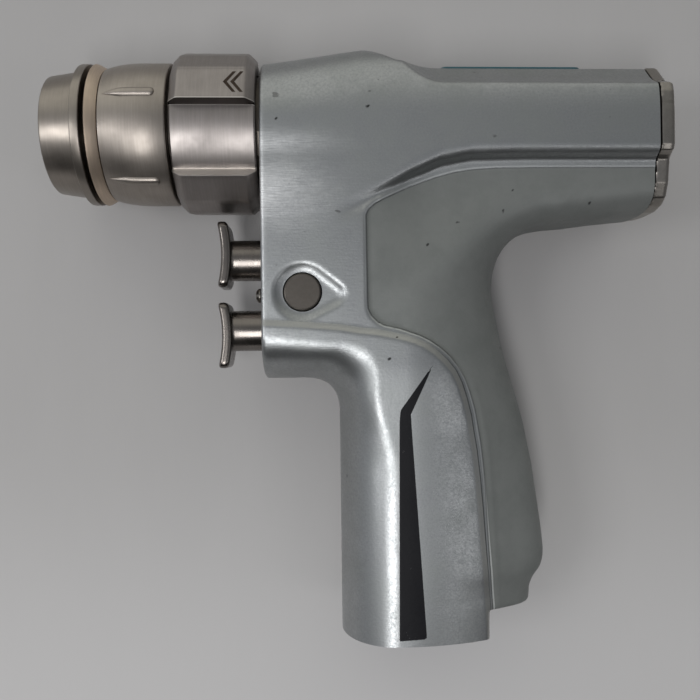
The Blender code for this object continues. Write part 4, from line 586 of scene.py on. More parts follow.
class Finish:
    """Material built from nodes round one shader, with a few short ways to add to it."""

    def __init__(self, name, colour, metallic, roughness, specular=0.5):
        self.material = bpy.data.materials.new(name)
        self.material.use_nodes = True
        self.tree = self.material.node_tree
        self.shader = self.tree.nodes["Principled BSDF"]
        self.place = self.node("ShaderNodeTexCoord").outputs["Object"]
        self.shader.inputs["Metallic"].default_value = metallic
        self.shader.inputs["Specular IOR Level"].default_value = specular
        self.tone = self.steady(colour)
        self.shader.inputs["Roughness"].default_value = roughness
        self.shader.inputs["Base Color"].default_value = (*colour, 1.0)
        self.relief = None

    def node(self, kind, **values):
        """Node with its settings."""
        made = self.tree.nodes.new(kind)
        for key, value in values.items():
            setattr(made, key, value)
        return made

    def steady(self, colour):
        """Colour that is held in a node, for mixing."""
        made = self.node("ShaderNodeRGB")
        made.outputs[0].default_value = (*colour, 1.0)
        return made.outputs[0]

    def link(self, start, end):
        """Link of two sockets."""
        self.tree.links.new(start, end)

    def noise(self, stretch, size, detail, rough):
        """Noise from 0 to 1: more features with a higher size, and along an axis with a higher stretch."""
        mapping = self.node("ShaderNodeMapping")
        self.link(self.place, mapping.inputs["Vector"])
        mapping.inputs["Scale"].default_value = stretch
        made = self.node("ShaderNodeTexNoise")
        self.link(mapping.outputs["Vector"], made.inputs["Vector"])
        made.inputs["Scale"].default_value = size
        made.inputs["Detail"].default_value = detail
        made.inputs["Roughness"].default_value = rough
        return made.outputs["Fac"]

    def attribute(self, name):
        """Value that the mesh keeps at its points."""
        return self.node("ShaderNodeAttribute", attribute_name=name).outputs["Fac"]

    def ranged(self, value, low, high, start=0.0, end=1.0, smooth=False):
        """Value moved from one range to another, held at the ends."""
        made = self.node("ShaderNodeMapRange", clamp=True)
        if smooth:
            made.interpolation_type = "SMOOTHSTEP"
        self.link(value, made.inputs["Value"])
        for socket, number in (("From Min", low), ("From Max", high), ("To Min", start), ("To Max", end)):
            made.inputs[socket].default_value = number
        return made.outputs["Result"]

    def maths(self, operation, first, second):
        """Sum, product or other result of two values."""
        made = self.node("ShaderNodeMath", operation=operation)
        for socket, value in zip(made.inputs, (first, second)):
            if isinstance(value, (int, float)):
                socket.default_value = value
            else:
                self.link(value, socket)
        return made.outputs[0]

    def times(self, first, second):
        """Product of two values."""
        return self.maths("MULTIPLY", first, second)

    def tint(self, share, colour):
        """Blend another colour over the surface where a value asks for it."""
        made = self.node("ShaderNodeMix", data_type="RGBA")
        self.link(share, made.inputs["Factor"])
        self.link(self.tone, made.inputs[6])
        made.inputs[7].default_value = (*colour, 1.0)
        self.tone = made.outputs[2]
        self.link(self.tone, self.shader.inputs["Base Color"])

    def line_near(self, value, middle, half, fade, strength):
        """Line drawn where a distance is near one value, with soft edges."""
        away = self.maths("ABSOLUTE", self.maths("SUBTRACT", value, middle), 0.0)
        return self.ranged(away, half, fade, strength, 0.0)

    def rough(self, value):
        """Roughness from a value."""
        self.link(value, self.shader.inputs["Roughness"])

    def bump(self, height, depth, strength):
        """Relief from a height, added to the relief already there."""
        made = self.node("ShaderNodeBump")
        made.inputs["Strength"].default_value = strength
        made.inputs["Distance"].default_value = depth * MM
        self.link(height, made.inputs["Height"])
        if self.relief is not None:
            self.link(self.relief, made.inputs["Normal"])
        self.relief = made.outputs["Normal"]
        self.link(self.relief, self.shader.inputs["Normal"])


def cast_finish():
    """Blasted silver, with the matt grip panel and the black stripe, painted highlight and painted shade
    lines along the panel's and the sleeve's edges, and painted glints on the barrel's front.
    """
    made = Finish("cast_silver", (0.375, 0.385, 0.39), CAST_METAL, 0.4)
    panel, sleeve = made.attribute("panel"), made.attribute("sleeve")
    grain = made.noise(EVEN, 1900.0, 2.0, 0.6)
    brushed = made.noise((0.2, 1.0, 3.0), 1500.0, 2.0, 0.5)
    cloud = made.noise(EVEN, 110.0, 5.0, 0.65)
    made.tint(made.ranged(grain, 0.35, 0.75, 0.0, 0.6), (0.25, 0.262, 0.268))
    made.tint(made.ranged(cloud, 0.42, 0.66, 0.0, 0.55), (0.285, 0.30, 0.295))
    streaks = made.ranged(brushed, 0.3, 0.65, 0.45, 1.0)
    # Painted highlight: pale glints on the barrel's front, broken up by the brushed streaks
    made.tint(made.times(made.attribute("painted_glint"), streaks), (0.9, 0.905, 0.91))
    inside = made.ranged(panel, -0.12, 0.02, 1.0, 0.0)
    made.tint(inside, (0.19, 0.199, 0.192))
    dim = made.ranged(cloud, 0.42, 0.66, 0.0, 0.6)
    made.tint(made.times(inside, dim), (0.152, 0.162, 0.156))
    low = made.attribute("low")
    # Painted shade: a dark line at the foot of the sleeve's chamfer, on the lower body
    painted_crease_shade = made.line_near(sleeve, 1.5, 0.08, 0.22, 0.75)
    made.tint(made.times(low, painted_crease_shade), (0.08, 0.09, 0.09))
    # Painted highlight: a pale line along the ledge beyond the chamfer, on the lower body
    painted_ledge_highlight = made.line_near(sleeve, 2.4, 0.12, 0.3, 0.6)
    made.tint(made.times(low, painted_ledge_highlight), (0.66, 0.68, 0.67))
    # Painted highlight: the sleeve's chamfer drawn paler, as where it catches the light
    made.tint(made.line_near(sleeve, 0.75, 0.5, 0.8, 0.55), (0.48, 0.475, 0.44))
    # Painted highlight: a pale line on the ridge round the grip panel
    made.tint(made.line_near(panel, 0.36, 0.06, 0.24, 0.5), (0.6, 0.62, 0.61))
    # Painted shade: a dark line at the grip panel's step
    made.tint(made.line_near(panel, 0.0, 0.06, 0.2, 0.4), (0.09, 0.095, 0.095))
    speck = made.ranged(made.noise((1.0, 1.0, 1.6), 330.0, 1.0, 0.3), 0.79, 0.82, 0.0, 0.6)
    made.tint(speck, (0.1, 0.1, 0.1))
    made.tint(made.ranged(made.attribute("nick"), 0.25, 0.6, 0.0, 0.95), (0.02, 0.02, 0.02))
    black = made.ranged(made.attribute("stripe"), -0.06, 0.04, 1.0, 0.0)
    worn = made.ranged(made.noise(EVEN, 900.0, 3.0, 0.6), 0.70, 0.74, 1.0, 0.6)
    made.tint(made.times(black, worn), (0.006, 0.006, 0.008))
    grain_shine = made.ranged(grain, 0.3, 0.8, 0.34, 0.45)
    cloud_shine = made.ranged(cloud, 0.4, 0.7, -0.03, 0.05)
    shine = made.maths("ADD", grain_shine, cloud_shine)
    made.rough(made.maths("ADD", shine, made.times(inside, 0.16)))
    metal = made.maths("SUBTRACT", CAST_METAL, made.times(inside, 0.64))
    metal = made.maths("SUBTRACT", metal, made.times(black, 0.84))
    made.link(metal, made.shader.inputs["Metallic"])
    made.link(made.ranged(black, 0.0, 1.0, 0.5, 0.2), made.shader.inputs["Specular IOR Level"])
    fine = made.maths("ADD", made.times(grain, 0.7), made.times(brushed, 0.6))
    made.bump(fine, 0.04, 0.6)
    made.bump(made.ranged(panel, -0.25, 0.15, 0.0, 1.0, True), 0.1, 0.8)
    made.bump(made.ranged(sleeve, 1.35, 1.6, 1.0, 0.0, True), 0.1, 0.8)
    return made.material


def turned_steel(name, colour, roughness, lines=True, marks=()):
    """Steel with fine lines round the axis, or ground evenly, with blotches, scratches and any painted
    marks of light and shade that are given.
    """
    made = Finish(name, colour, 1.0, roughness)
    dark = tuple(0.72 * part for part in colour)
    pale = tuple(min(1.0, 1.35 * part) for part in colour)
    blotch = made.noise(EVEN, 120.0, 4.0, 0.6)
    made.tint(made.ranged(blotch, 0.38, 0.72, 0.0, 0.5), dark)
    stretch, size = ((1.0, 0.05, 0.05), 2600.0) if lines else (EVEN, 1500.0)
    ground = made.noise(stretch, size, 3.0, 0.6)
    made.tint(made.ranged(ground, 0.4, 0.8, 0.0, 0.35), pale)
    scratch = made.ranged(made.noise((0.35, 2.2, 1.6), 220.0, 2.0, 0.5), 0.73, 0.76)
    made.tint(made.times(scratch, 0.5), dark)
    for mark, tone in marks:
        made.tint(made.attribute(mark), tone)
    made.rough(made.ranged(blotch, 0.3, 0.75, roughness - 0.05, roughness + 0.1))
    made.bump(ground, 0.012, 0.5)
    return made.material


def plain_finish(name, colour, metallic, roughness, grain=900.0, depth=0.01):
    """Even finish with a little grain, for inner parts."""
    made = Finish(name, colour, metallic, roughness)
    spots = made.noise(EVEN, grain, 3.0, 0.55)
    made.tint(made.ranged(spots, 0.35, 0.8, 0.0, 0.5), tuple(0.7 * part for part in colour))
    made.rough(made.ranged(spots, 0.3, 0.7, roughness - 0.05, roughness + 0.08))
    made.bump(spots, depth, 0.5)
    return made.material


# Marks of the selector ring: painted shade on the wall at one side of each lobe, and painted highlights
# along the edges beside the walls
RING_PAINTED_LIGHT = [("painted_wall_shade", (0.035, 0.03, 0.028)), ("painted_edge_highlight", (0.72, 0.68, 0.64))]

CAST = cast_finish()
COUPLING = turned_steel("coupling_nickel", (0.29, 0.26, 0.23), 0.33)
SELECTOR = turned_steel("selector_steel", (0.30, 0.275, 0.262), 0.41, marks=RING_PAINTED_LIGHT)
SLEEVE_STEEL = turned_steel("sleeve_steel", (0.345, 0.31, 0.278), 0.39)
BRONZE = turned_steel("tinted_bronze", (0.60, 0.49, 0.39), 0.44)
TRIGGER_STEEL = turned_steel("trigger_steel", (0.19, 0.172, 0.158), 0.24)
BUTTON_STEEL = turned_steel("button_steel", (0.105, 0.095, 0.085), 0.4, lines=False)
CAP_STEEL = turned_steel("cap_steel", (0.30, 0.28, 0.255), 0.3, lines=False)
# Near-black steel for the coupling body: painted shade in the gaps between the rings
GAP_SHADE_STEEL = turned_steel("painted_shade_inner_steel", (0.09, 0.08, 0.07), 0.4)
GEAR = turned_steel("ground_gear_steel", (0.42, 0.42, 0.43), 0.32)
SPRING = plain_finish("drawn_spring_wire", (0.35, 0.35, 0.37), 1.0, 0.3)
RUBBER = plain_finish("black_rubber", (0.02, 0.02, 0.02), 0.0, 0.65)
COPPER = plain_finish("enamelled_copper", (0.55, 0.24, 0.12), 1.0, 0.38)
BRASS = plain_finish("plated_brass", (0.62, 0.45, 0.18), 1.0, 0.28)
MAGNET = plain_finish("plated_magnet", (0.32, 0.32, 0.33), 1.0, 0.3)
CIRCUIT = plain_finish("coated_board", (0.03, 0.16, 0.07), 0.0, 0.4, 400.0, 0.03)
BLACK_PLASTIC = plain_finish("moulded_black", (0.03, 0.03, 0.035), 0.0, 0.5)
BUSH_PLASTIC = plain_finish("bearing_plastic", (0.09, 0.09, 0.10), 0.0, 0.45)
PLATE = plain_finish("blue_green_plate", (0.025, 0.09, 0.11), 0.0, 0.35, 600.0, 0.008)
ENGRAVED = plain_finish("engraved_brown", (0.075, 0.05, 0.035), 0.3, 0.55)

SLOT_FINISH = {"silver_aluminium": CAST, "coupling_steel": COUPLING, "bronze_tint": BRONZE,
               "stainless_steel": CAP_STEEL, "gear_steel": GEAR, "spring_steel": SPRING,
               "black_rubber": RUBBER, "copper_wire": COPPER, "contact_brass": BRASS,
               "magnet_nickel": MAGNET, "circuit_board": CIRCUIT, "black_plastic": BLACK_PLASTIC,
               "bush_plastic": BUSH_PLASTIC}

for part in frame["record"]["subparts"]:
    shown = nodes[part["node"]]
    # The coupling body, which shows only through the gaps between the rings, gets near-black steel: painted
    # shade in those gaps
    inner = part["node"] == "coupling_body"
    shown.data.materials.clear()
    shown.data.materials.append(GAP_SHADE_STEEL if inner else SLOT_FINISH[part["material_slot"]])

RING_TREE = ring_tree()


def dressed(made, body, node, finish, angle=35.0):
    """Give a piece its finish, hang it on the body it rides on, and hide the CAD node that it stands for.
    """
    made.data.materials.clear()
    made.data.materials.append(finish)
    made.data.shade_smooth()
    made.data.set_sharp_from_angle(angle=math.radians(angle))
    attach(made, body)
    if node:
        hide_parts(node)


# Body with its bores

# Painted highlight patches (glints) on the cast body's front: their middle, and how far they reach along
# and up
GLINT_PATCHES = [((0.0, -6.3), 13.0, 2.6), ((0.0, -17.5), 13.0, 7.0)]

# Nicks in the cast body: their middle, half their length and height, and their lean in degrees
NICKS = [((25.4, 2.2), 0.95, 0.35, 35.0), ((4.2, -0.6), 0.4, 0.35, 0.0), ((29.9, -57.0), 0.75, 0.5, 20.0),
         ((31.9, -52.0), 0.45, 0.4, 0.0), ((60.7, -16.8), 0.4, 0.5, 0.0), ((58.3, -21.7), 0.35, 0.9, -10.0),
         ((46.8, -24.5), 0.9, 0.35, -5.0), ((79.8, -19.8), 0.5, 0.45, 0.0), ((39.5, -30.1), 0.45, 0.4, 0.0)]

FARTHEST = 6.0
OFF_STRIPE = 5.0


def point_rows(made):
    """Places of a mesh's points in millimetres: all x, then all y, then all z."""
    places = np.zeros(len(made.data.vertices) * 3)
    made.data.vertices.foreach_get("co", places)
    return places.reshape(-1, 3).T / MM


def keep_values(made, drawn):
    """Keep named values at a mesh's points, where its finish can read them."""
    for name, values in drawn.items():
        kept = made.data.attributes.new(name, "FLOAT", "POINT")
        kept.data.foreach_set("value", np.clip(values, -FARTHEST, FARTHEST).astype(np.float32))


def marked(made):
    """Keep at each point its distance from the drawn edges, how nicked and how low it is, and how strong
    its painted glint is.
    """
    x, side, z = point_rows(made)
    back, up = x + NOSE_TO_ORIGIN, z - AXIS_HEIGHT
    nick = np.zeros(len(x))
    for (b, u), along, across, lean in NICKS:
        turn = math.radians(lean)
        run = (back - b) * math.cos(turn) + (up - u) * math.sin(turn)
        rise = (up - u) * math.cos(turn) - (back - b) * math.sin(turn)
        nick = np.maximum(nick, 1.0 - (run / along) ** 2 - (rise / across) ** 2)
    # Painted highlight patches, strongest at their middles
    painted_glint = np.zeros(len(x))
    for (b, u), along, across in GLINT_PATCHES:
        painted_glint = np.maximum(painted_glint, np.exp(-((back - b) / along) ** 2 - ((up - u) / across) ** 2))
    shown = side < 0.0
    keep_values(made, {"panel": outline_distance(PANEL, back, up),
                       "sleeve": outline_distance(SLEEVE, back, up),
                       "stripe": np.where(shown, outline_distance(STRIPE, back, up), OFF_STRIPE),
                       "nick": np.where(shown, nick, 0.0),
                       "painted_glint": np.where(shown, painted_glint, 0.0),
                       "low": ease(*LOW_FADE_UP, up)})


BATTERY_LOW, BATTERY_HIGH = (21.4, -10.2), (50.8, 10.2)
BATTERY_DEPTH = 56.0
BATTERY_ROUND = 4.0
MOTOR_BORE = 12.7
FRONT_BORE = 14.6
GEAR_SHOULDER = 26.0
POCKET_RADIUS = 6.6
POCKET_END = 21.4
TRIGGER_UPS = {"upper": -31.8, "lower": -49.7}
BUTTON_RADIUS = 4.4
BUTTON_PLAY = 0.25

# How far the boring tools stand out of the body, and reach into one another
TOOL_CLEAR, SIDE_CLEAR = 5.0, 30.0
BORE_OVERLAP = 2.0

# Smallest and greatest place that the body's surface is looked for in, and the size of a cell
BODY_LOW, BODY_HIGH = (-1.0, -18.6, BASE - 1.2), (BODY_LENGTH + 1.5, 18.6, 22.2)
BODY_CELL = 0.6


def make_body():
    """Cast body from its surface, cut off flat at its ends and bored out."""
    points, faces = surface_of(cast_body, BODY_LOW, BODY_HIGH, BODY_CELL)
    made = mesh_from("cast_housing", to_frame(*points.T), faces)
    outward(made)
    cut_flat(made, at(BODY_LENGTH, 0, 0), (1, 0, 0))
    cut_flat(made, at(0, 0, BASE), (0, 0, -1))
    button_b, button_u = BUTTON_PLACE
    near, far = at(button_b, -SIDE_CLEAR, button_u), at(button_b, SIDE_CLEAR, button_u)
    tools = [rod(FRONT_BORE, at(-TOOL_CLEAR, 0, 0), at(GEAR_SHOULDER, 0, 0)),
             rod(MOTOR_BORE, at(GEAR_SHOULDER - BORE_OVERLAP, 0, 0), at(BODY_LENGTH + TOOL_CLEAR, 0, 0)),
             rod(BUTTON_RADIUS + BUTTON_PLAY, near, far)]
    for up in TRIGGER_UPS.values():
        tools.append(rod(POCKET_RADIUS, at(-TOOL_CLEAR, 0, up), at(POCKET_END, 0, up), 48))
    tools.append(battery_tool())
    drilled(made, tools)
    outward(made)
    marked(made)
    dressed(made, "drill_body", "housing", CAST, 38.0)


def battery_tool():
    """Rounded upright block that the battery socket is cut with."""
    shape = bmesh.new()
    (low_b, low_s), (high_b, high_s) = BATTERY_LOW, BATTERY_HIGH
    corners = [(low_b, low_s), (high_b, low_s), (high_b, high_s), (low_b, high_s)]
    verts = [shape.verts.new(at(b, s, BASE - TOOL_CLEAR)) for b, s in corners]
    face = shape.faces.new(verts)
    lifted = bmesh.ops.extrude_face_region(shape, geom=[face])
    top = [part for part in lifted["geom"] if isinstance(part, bmesh.types.BMVert)]
    bmesh.ops.translate(shape, verts=top, vec=(0, 0, (BATTERY_DEPTH + TOOL_CLEAR) * MM))
    round_uprights(shape, BATTERY_ROUND)
    bmesh.ops.recalc_face_normals(shape, faces=shape.faces)
    return object_of("socket", shape)


# Coupling

COLLAR_FRONT, FLANGE_FRONT, COLLAR_REAR = -51.7, -43.8, -41.6
CONE_FRONT, CONE_REAR = -40.4, -37.8
SLEEVE_FRONT, SLEEVE_REAR = -37.5, -21.7
SELECTOR_FRONT, SELECTOR_REAR = -20.9, -0.9
RING_BORE = 14.6
LOBE_MIDDLE = -43.8
LOBE_HALF = 34.2
LOBE_FLAT_WIDTH = 25.0
LOBE_CREST = 19.98
LOBE_SHOULDER = 0.8
LOBE_FOOT = 16.5
LOBE_EDGE_DROP, LOBE_EDGE_REACH = 0.1, 0.9
CHAMFER_LENGTH = 2.1
CHAMFER_DROP = 2.0
CHAMFER_SOFT_DROP = 0.08
RIM_DROP = 0.35
RIM_REACH = 0.35
VALLEY_RADIUS = 17.2
THIRD_HALF = 60.0
ANGLE_STEP, ANGLE_GAP = 3.0, 0.3
BESIDE_MARK = (-0.9, -0.4, 0.0, 0.4, 0.9)
# Reach past each wall, in degrees, of the painted wall shade and the painted edge highlight, and the
# highlight's strength
WALL_SHADE_MARGIN, EDGE_HIGHLIGHT_MARGIN = 0.05, 0.5
EDGE_HIGHLIGHT_SHARE = 0.8

# Distances from either end at which the selector ring's radius is worked out
RING_ENDS = [0.0, 0.12, 0.35, 1.0, 1.6, 1.85, 2.1, 2.35, 2.6]
RING_MIDDLE = list(np.linspace(3.4, 10.0, 6))


def sector_angles(low, high, marks):
    """Angles through a sector every 3 degrees, with finer ones beside each mark."""
    fine = sorted({round(mark + extra, 3) for mark in marks for extra in BESIDE_MARK})
    even = np.arange(low, high + 0.01, ANGLE_STEP)
    return sorted(fine + [spot for spot in even if min(abs(spot - other) for other in fine) > ANGLE_GAP])


def lobe_radius(angle):
    """Radius of one lobe at an angle from its middle: three flats and a steep shoulder at each end."""
    turn = abs(angle)
    crease = LOBE_HALF - LOBE_FLAT_WIDTH
    if turn > LOBE_HALF:
        share = min(1.0, (turn - LOBE_HALF) / LOBE_SHOULDER)
        return LOBE_CREST - LOBE_EDGE_DROP + (LOBE_FOOT - LOBE_CREST) * share
    flat_half = LOBE_FLAT_WIDTH / 2
    half, middle = (crease, 0.0) if turn < crease else (flat_half, LOBE_HALF - flat_half)
    flat = LOBE_CREST * math.cos(math.radians(half)) / math.cos(math.radians(turn - middle))
    near = min(abs(turn - crease), abs(turn - LOBE_HALF))
    return flat - LOBE_EDGE_DROP * max(0.0, 1.0 - near / LOBE_EDGE_REACH)


def selector_radius(back, angle):
    """Radius of the selector ring, with its lobes chamfered towards both ends."""
    end = min(back - SELECTOR_FRONT, SELECTOR_REAR - back)
    share = min(1.0, max(0.0, end / CHAMFER_LENGTH))
    soft = CHAMFER_SOFT_DROP * max(0.0, 1.0 - abs(end - CHAMFER_LENGTH) / RIM_REACH)
    rim = RIM_DROP * max(0.0, 1.0 - end / RIM_REACH)
    lobe = lobe_radius(angle) - soft - CHAMFER_DROP * (1.0 - share)
    return max(VALLEY_RADIUS, lobe) - rim


def make_selector():
    """Selector ring: a third of it made once and set round the axis three times."""
    crease = LOBE_HALF - LOBE_FLAT_WIDTH
    marks = [sign * mark for sign in (-1, 1) for mark in (crease, LOBE_HALF, LOBE_HALF + LOBE_SHOULDER)]
    angles = sector_angles(-THIRD_HALF, THIRD_HALF, marks)
    stations = [SELECTOR_FRONT + end for end in RING_ENDS + RING_MIDDLE]
    stations += [SELECTOR_REAR - end for end in reversed(RING_ENDS + RING_MIDDLE[:-1])]
    unit = third_of_ring("selector_third", stations, angles, selector_radius, RING_BORE)
    made = set_round(unit, "finger_selector_ring", 3, LOBE_MIDDLE, SELECTOR)
    dressed(made, "selector_ring", "selector_ring", SELECTOR, 34.0)


def third_of_ring(name, stations, angles, radius, bore):
    """Open sector of a ring about the X axis at the origin, from its outer radii and its bore."""
    shape = bmesh.new()
    rows = [[(station, radius(station, angle), angle) for angle in angles] for station in stations]
    rows += [[(station, bore, angle) for angle in angles] for station in (stations[-1], stations[0])]
    verts = [[shape.verts.new(polar_point(*spot)) for spot in row] for row in rows]
    verts.append(verts[0])
    skin(shape, verts)
    bmesh.ops.recalc_face_normals(shape, faces=shape.faces)
    made = object_of(name, shape)
    face_from_axis(made)
    mark_edges(made)
    return made


def mark_edges(made):
    """Keep at each point of the ring's third how much painted edge highlight and painted wall shade it
    gets.
    """
    y, z = point_rows(made)[1:]
    turn = np.degrees(np.arctan2(-z, -y))
    outside = np.hypot(y, z) > VALLEY_RADIUS - 0.5
    past = np.abs(turn) - LOBE_HALF
    wall = (past > -WALL_SHADE_MARGIN) & (past < LOBE_SHOULDER + WALL_SHADE_MARGIN)
    beside = (past > -EDGE_HIGHLIGHT_MARGIN) & (past < LOBE_SHOULDER + EDGE_HIGHLIGHT_MARGIN)
    # Painted shade on the wall at the lobe's one side
    painted_wall_shade = np.where(outside & wall & (turn > 0.0), 1.0, 0.0)
    # Painted highlight along the edges beside both walls, left off the shaded wall
    painted_edge_highlight = np.where(outside & beside, EDGE_HIGHLIGHT_SHARE, 0.0) * (1.0 - painted_wall_shade)
    keep_values(made, {"painted_edge_highlight": painted_edge_highlight, "painted_wall_shade": painted_wall_shade})


def face_from_axis(made):
    """Turn an open sector's faces so that its outer wall faces away from the drill axis."""
    outer = max(made.data.polygons, key=lambda face: math.hypot(face.center.y, face.center.z))
    if outer.normal.y * outer.center.y + outer.normal.z * outer.center.z < 0.0:
        made.data.flip_normals()


def polar_point(back, radius, angle):
    """Point about the X axis at the origin: angle 0 towards the photographed side, then downwards."""
    turn = math.radians(angle)
    return Vector((back - NOSE_TO_ORIGIN, -radius * math.cos(turn), -radius * math.sin(turn))) * MM


RIB_LENGTH = 12.5
RIB_HALF_WIDTH = 1.25
RIB_HEIGHT = 0.72
RIB_START = -36.6
RIB_SUNK = 0.12
RIB_LIFT = 0.04
RIB_NOSE = 4.5
RIB_COUNT = 5
RIB_STEPS, RIB_SIDE_STEPS = 40, 8
FIRST_RIB = -19.5


def make_ribs():
    """Five ribs of the front sleeve: pointed in front, round behind, set round the axis."""
    shape = bmesh.new()
    rows = []
    for step in range(RIB_STEPS + 1):
        along = RIB_LENGTH * step / RIB_STEPS
        nose = min(1.0, along / RIB_NOSE) ** 0.75
        past = max(0.0, (along - RIB_LENGTH + RIB_HALF_WIDTH) / RIB_HALF_WIDTH)
        tail = math.sqrt(max(0.0, 1.0 - past ** 2))
        half = max(0.02, RIB_HALF_WIDTH * nose * tail)
        base = sleeve_radius(RIB_START + along)
        row = []
        for turn in range(-RIB_SIDE_STEPS, RIB_SIDE_STEPS + 1):
            share = math.sin(math.pi / 2 * turn / RIB_SIDE_STEPS)
            lift = RIB_HEIGHT * min(1.0, (nose * tail) ** 0.8) * (1.0 - abs(share) ** 3.0)
            radius = base - RIB_SUNK + lift + RIB_LIFT
            spot = polar_point(RIB_START + along, radius, math.degrees(share * half / base))
            row.append(shape.verts.new(spot))
        rows.append(row)
    skin(shape, rows)
    rim = [edge for edge in shape.edges if edge.is_boundary]
    bmesh.ops.edgenet_fill(shape, edges=rim)
    bmesh.ops.recalc_face_normals(shape, faces=shape.faces)
    made = set_round(object_of("rib", shape), "sleeve_ribs", RIB_COUNT, FIRST_RIB, SLEEVE_STEEL)
    dressed(made, "drill_body", None, SLEEVE_STEEL, 50.0)


SLEEVE_STATIONS = [-37.5, -36.0, -34.0, -31.5, -29.0, 0.0]
SLEEVE_RADII = [16.1, 16.55, 16.98, 17.28, 17.4, 17.4]


def sleeve_radius(back):
    """Outer radius of the ribbed sleeve along its length."""
    return float(np.interp(back, SLEEVE_STATIONS, SLEEVE_RADII))


COLLAR_SEAT, COLLAR_BORE = -44.0, 12.0
FLANGE_RADIUS = 17.2

# Turned outlines, as (distance, radius): the release collar and the cone ring
COLLAR = [(COLLAR_REAR, FLANGE_RADIUS - 0.15), (COLLAR_REAR - 0.15, FLANGE_RADIUS),
          (FLANGE_FRONT + 0.45, FLANGE_RADIUS), (FLANGE_FRONT + 0.15, 17.1), (FLANGE_FRONT, 16.85),
          (FLANGE_FRONT, 15.7), (FLANGE_FRONT - 0.12, 15.52), (FLANGE_FRONT - 0.4, 15.46),
          (COLLAR_FRONT + 0.7, 14.42), (COLLAR_FRONT + 0.25, 14.3), (COLLAR_FRONT, 14.0),
          (COLLAR_FRONT, 13.55), (COLLAR_FRONT + 0.15, 13.42), (COLLAR_SEAT, 13.4),
          (COLLAR_SEAT, COLLAR_BORE), (COLLAR_REAR, COLLAR_BORE)]
CONE = [(CONE_REAR, 15.9), (CONE_REAR - 0.15, 16.05), (CONE_FRONT + 0.5, 17.12),
        (CONE_FRONT + 0.2, FLANGE_RADIUS), (CONE_FRONT, 17.0), (CONE_FRONT, RING_BORE),
        (CONE_REAR, RING_BORE)]


def make_coupling():
    """Release collar, cone ring and front sleeve, turned about the drill axis."""
    axis_start = at(0, 0, 0)
    collar = lathe("release_collar_nose", COLLAR, axis_start, (1, 0, 0))
    dressed(collar, "release_collar", "release_collar", COUPLING)
    ring = lathe("tinted_cone_ring", CONE, axis_start, (1, 0, 0))
    dressed(ring, "drill_body", "cone_ring", BRONZE)
    edge = [(SLEEVE_REAR, 16.95), (SLEEVE_REAR - 0.1, 17.2), (SLEEVE_REAR - 0.4, SLEEVE_RADII[-1])]
    spots = np.linspace(SLEEVE_FRONT + 9.0, SLEEVE_FRONT + 0.3, 18)
    edge += [(float(spot), sleeve_radius(spot)) for spot in spots]
    edge += [(SLEEVE_FRONT, SLEEVE_RADII[0]), (SLEEVE_FRONT, RING_BORE), (SLEEVE_REAR, RING_BORE)]
    sleeve = lathe("ribbed_front_sleeve", edge, axis_start, (1, 0, 0))
    dressed(sleeve, "drill_body", "front_sleeve", SLEEVE_STEEL)


ARROW_TIP = -8.05
ARROW_LIFT = 0.25
ARROW_STEP = 1.7
ARROW_RUN = 2.2
ARROW_HALF_HEIGHT = 3.0
ARROW_STROKE = 0.8
ARROW_BLUNT = 0.15
ARROW_PROUD = 0.015
ARROW_THICKNESS = 0.02


def make_chevrons():
    """Engraved double arrow on the selector ring, as dark strokes that lie just over its flat."""
    turn = math.radians(LOBE_MIDDLE + LOBE_HALF - LOBE_FLAT_WIDTH / 2)
    flat = LOBE_CREST * math.cos(math.radians(LOBE_FLAT_WIDTH / 2))
    out = Vector((0, -math.cos(turn), -math.sin(turn)))
    down = Vector((0, math.sin(turn), -math.cos(turn)))
    centre = at(ARROW_TIP, 0, 0) + (out * (flat + ARROW_PROUD) - down * ARROW_LIFT) * MM
    shape = bmesh.new()
    for start in (0.0, ARROW_STEP):
        for lean in (-1, 1):
            end, height = start + ARROW_RUN, lean * ARROW_HALF_HEIGHT
            corners = [(start, 0.0), (end, height), (end + ARROW_STROKE, height),
                       (start + ARROW_STROKE + ARROW_BLUNT, 0.0)]
            verts = [shape.verts.new(centre + Vector((a, 0, 0)) * MM + down * b * MM) for a, b in corners]
            shape.faces.new(verts)
    # The strokes stay flat: their faces have no normals yet, so this thickness moves nothing
    bmesh.ops.solidify(shape, geom=shape.faces[:], thickness=ARROW_THICKNESS * MM)
    bmesh.ops.recalc_face_normals(shape, faces=shape.faces)
    made = object_of("engraved_arrows", shape)
    dressed(made, "selector_ring", None, ENGRAVED)


# Triggers, button and screw

STEM_RADIUS = 5.15
PAD_THICKNESS = 2.5
PAD_HALF_HEIGHT = 8.2
PAD_HALF_WIDTH = 6.0
PAD_HOLLOW = 1.05
PAD_UPS = {"upper": -30.65, "lower": -50.85}
STEM_REACH = 8.1
STEM_INSERT = 8.9
ROD_RADIUS = 2.0
ROD_END = 14.9
PAD_CORNER = 1.6
PAD_EDGE, STEM_EDGE, ROD_EDGE = 1.0, 0.3, 0.5
STEM_BLEND, ROD_BLEND = 0.5, 0.3
STEM_INTO_PAD = 1.2

# Room that a trigger's surface is looked for in, and the size of a cell
TRIGGER_FRONT, TRIGGER_SIDE, TRIGGER_RISE = -13.2, 6.7, 9.0
TRIGGER_CELL = 0.3


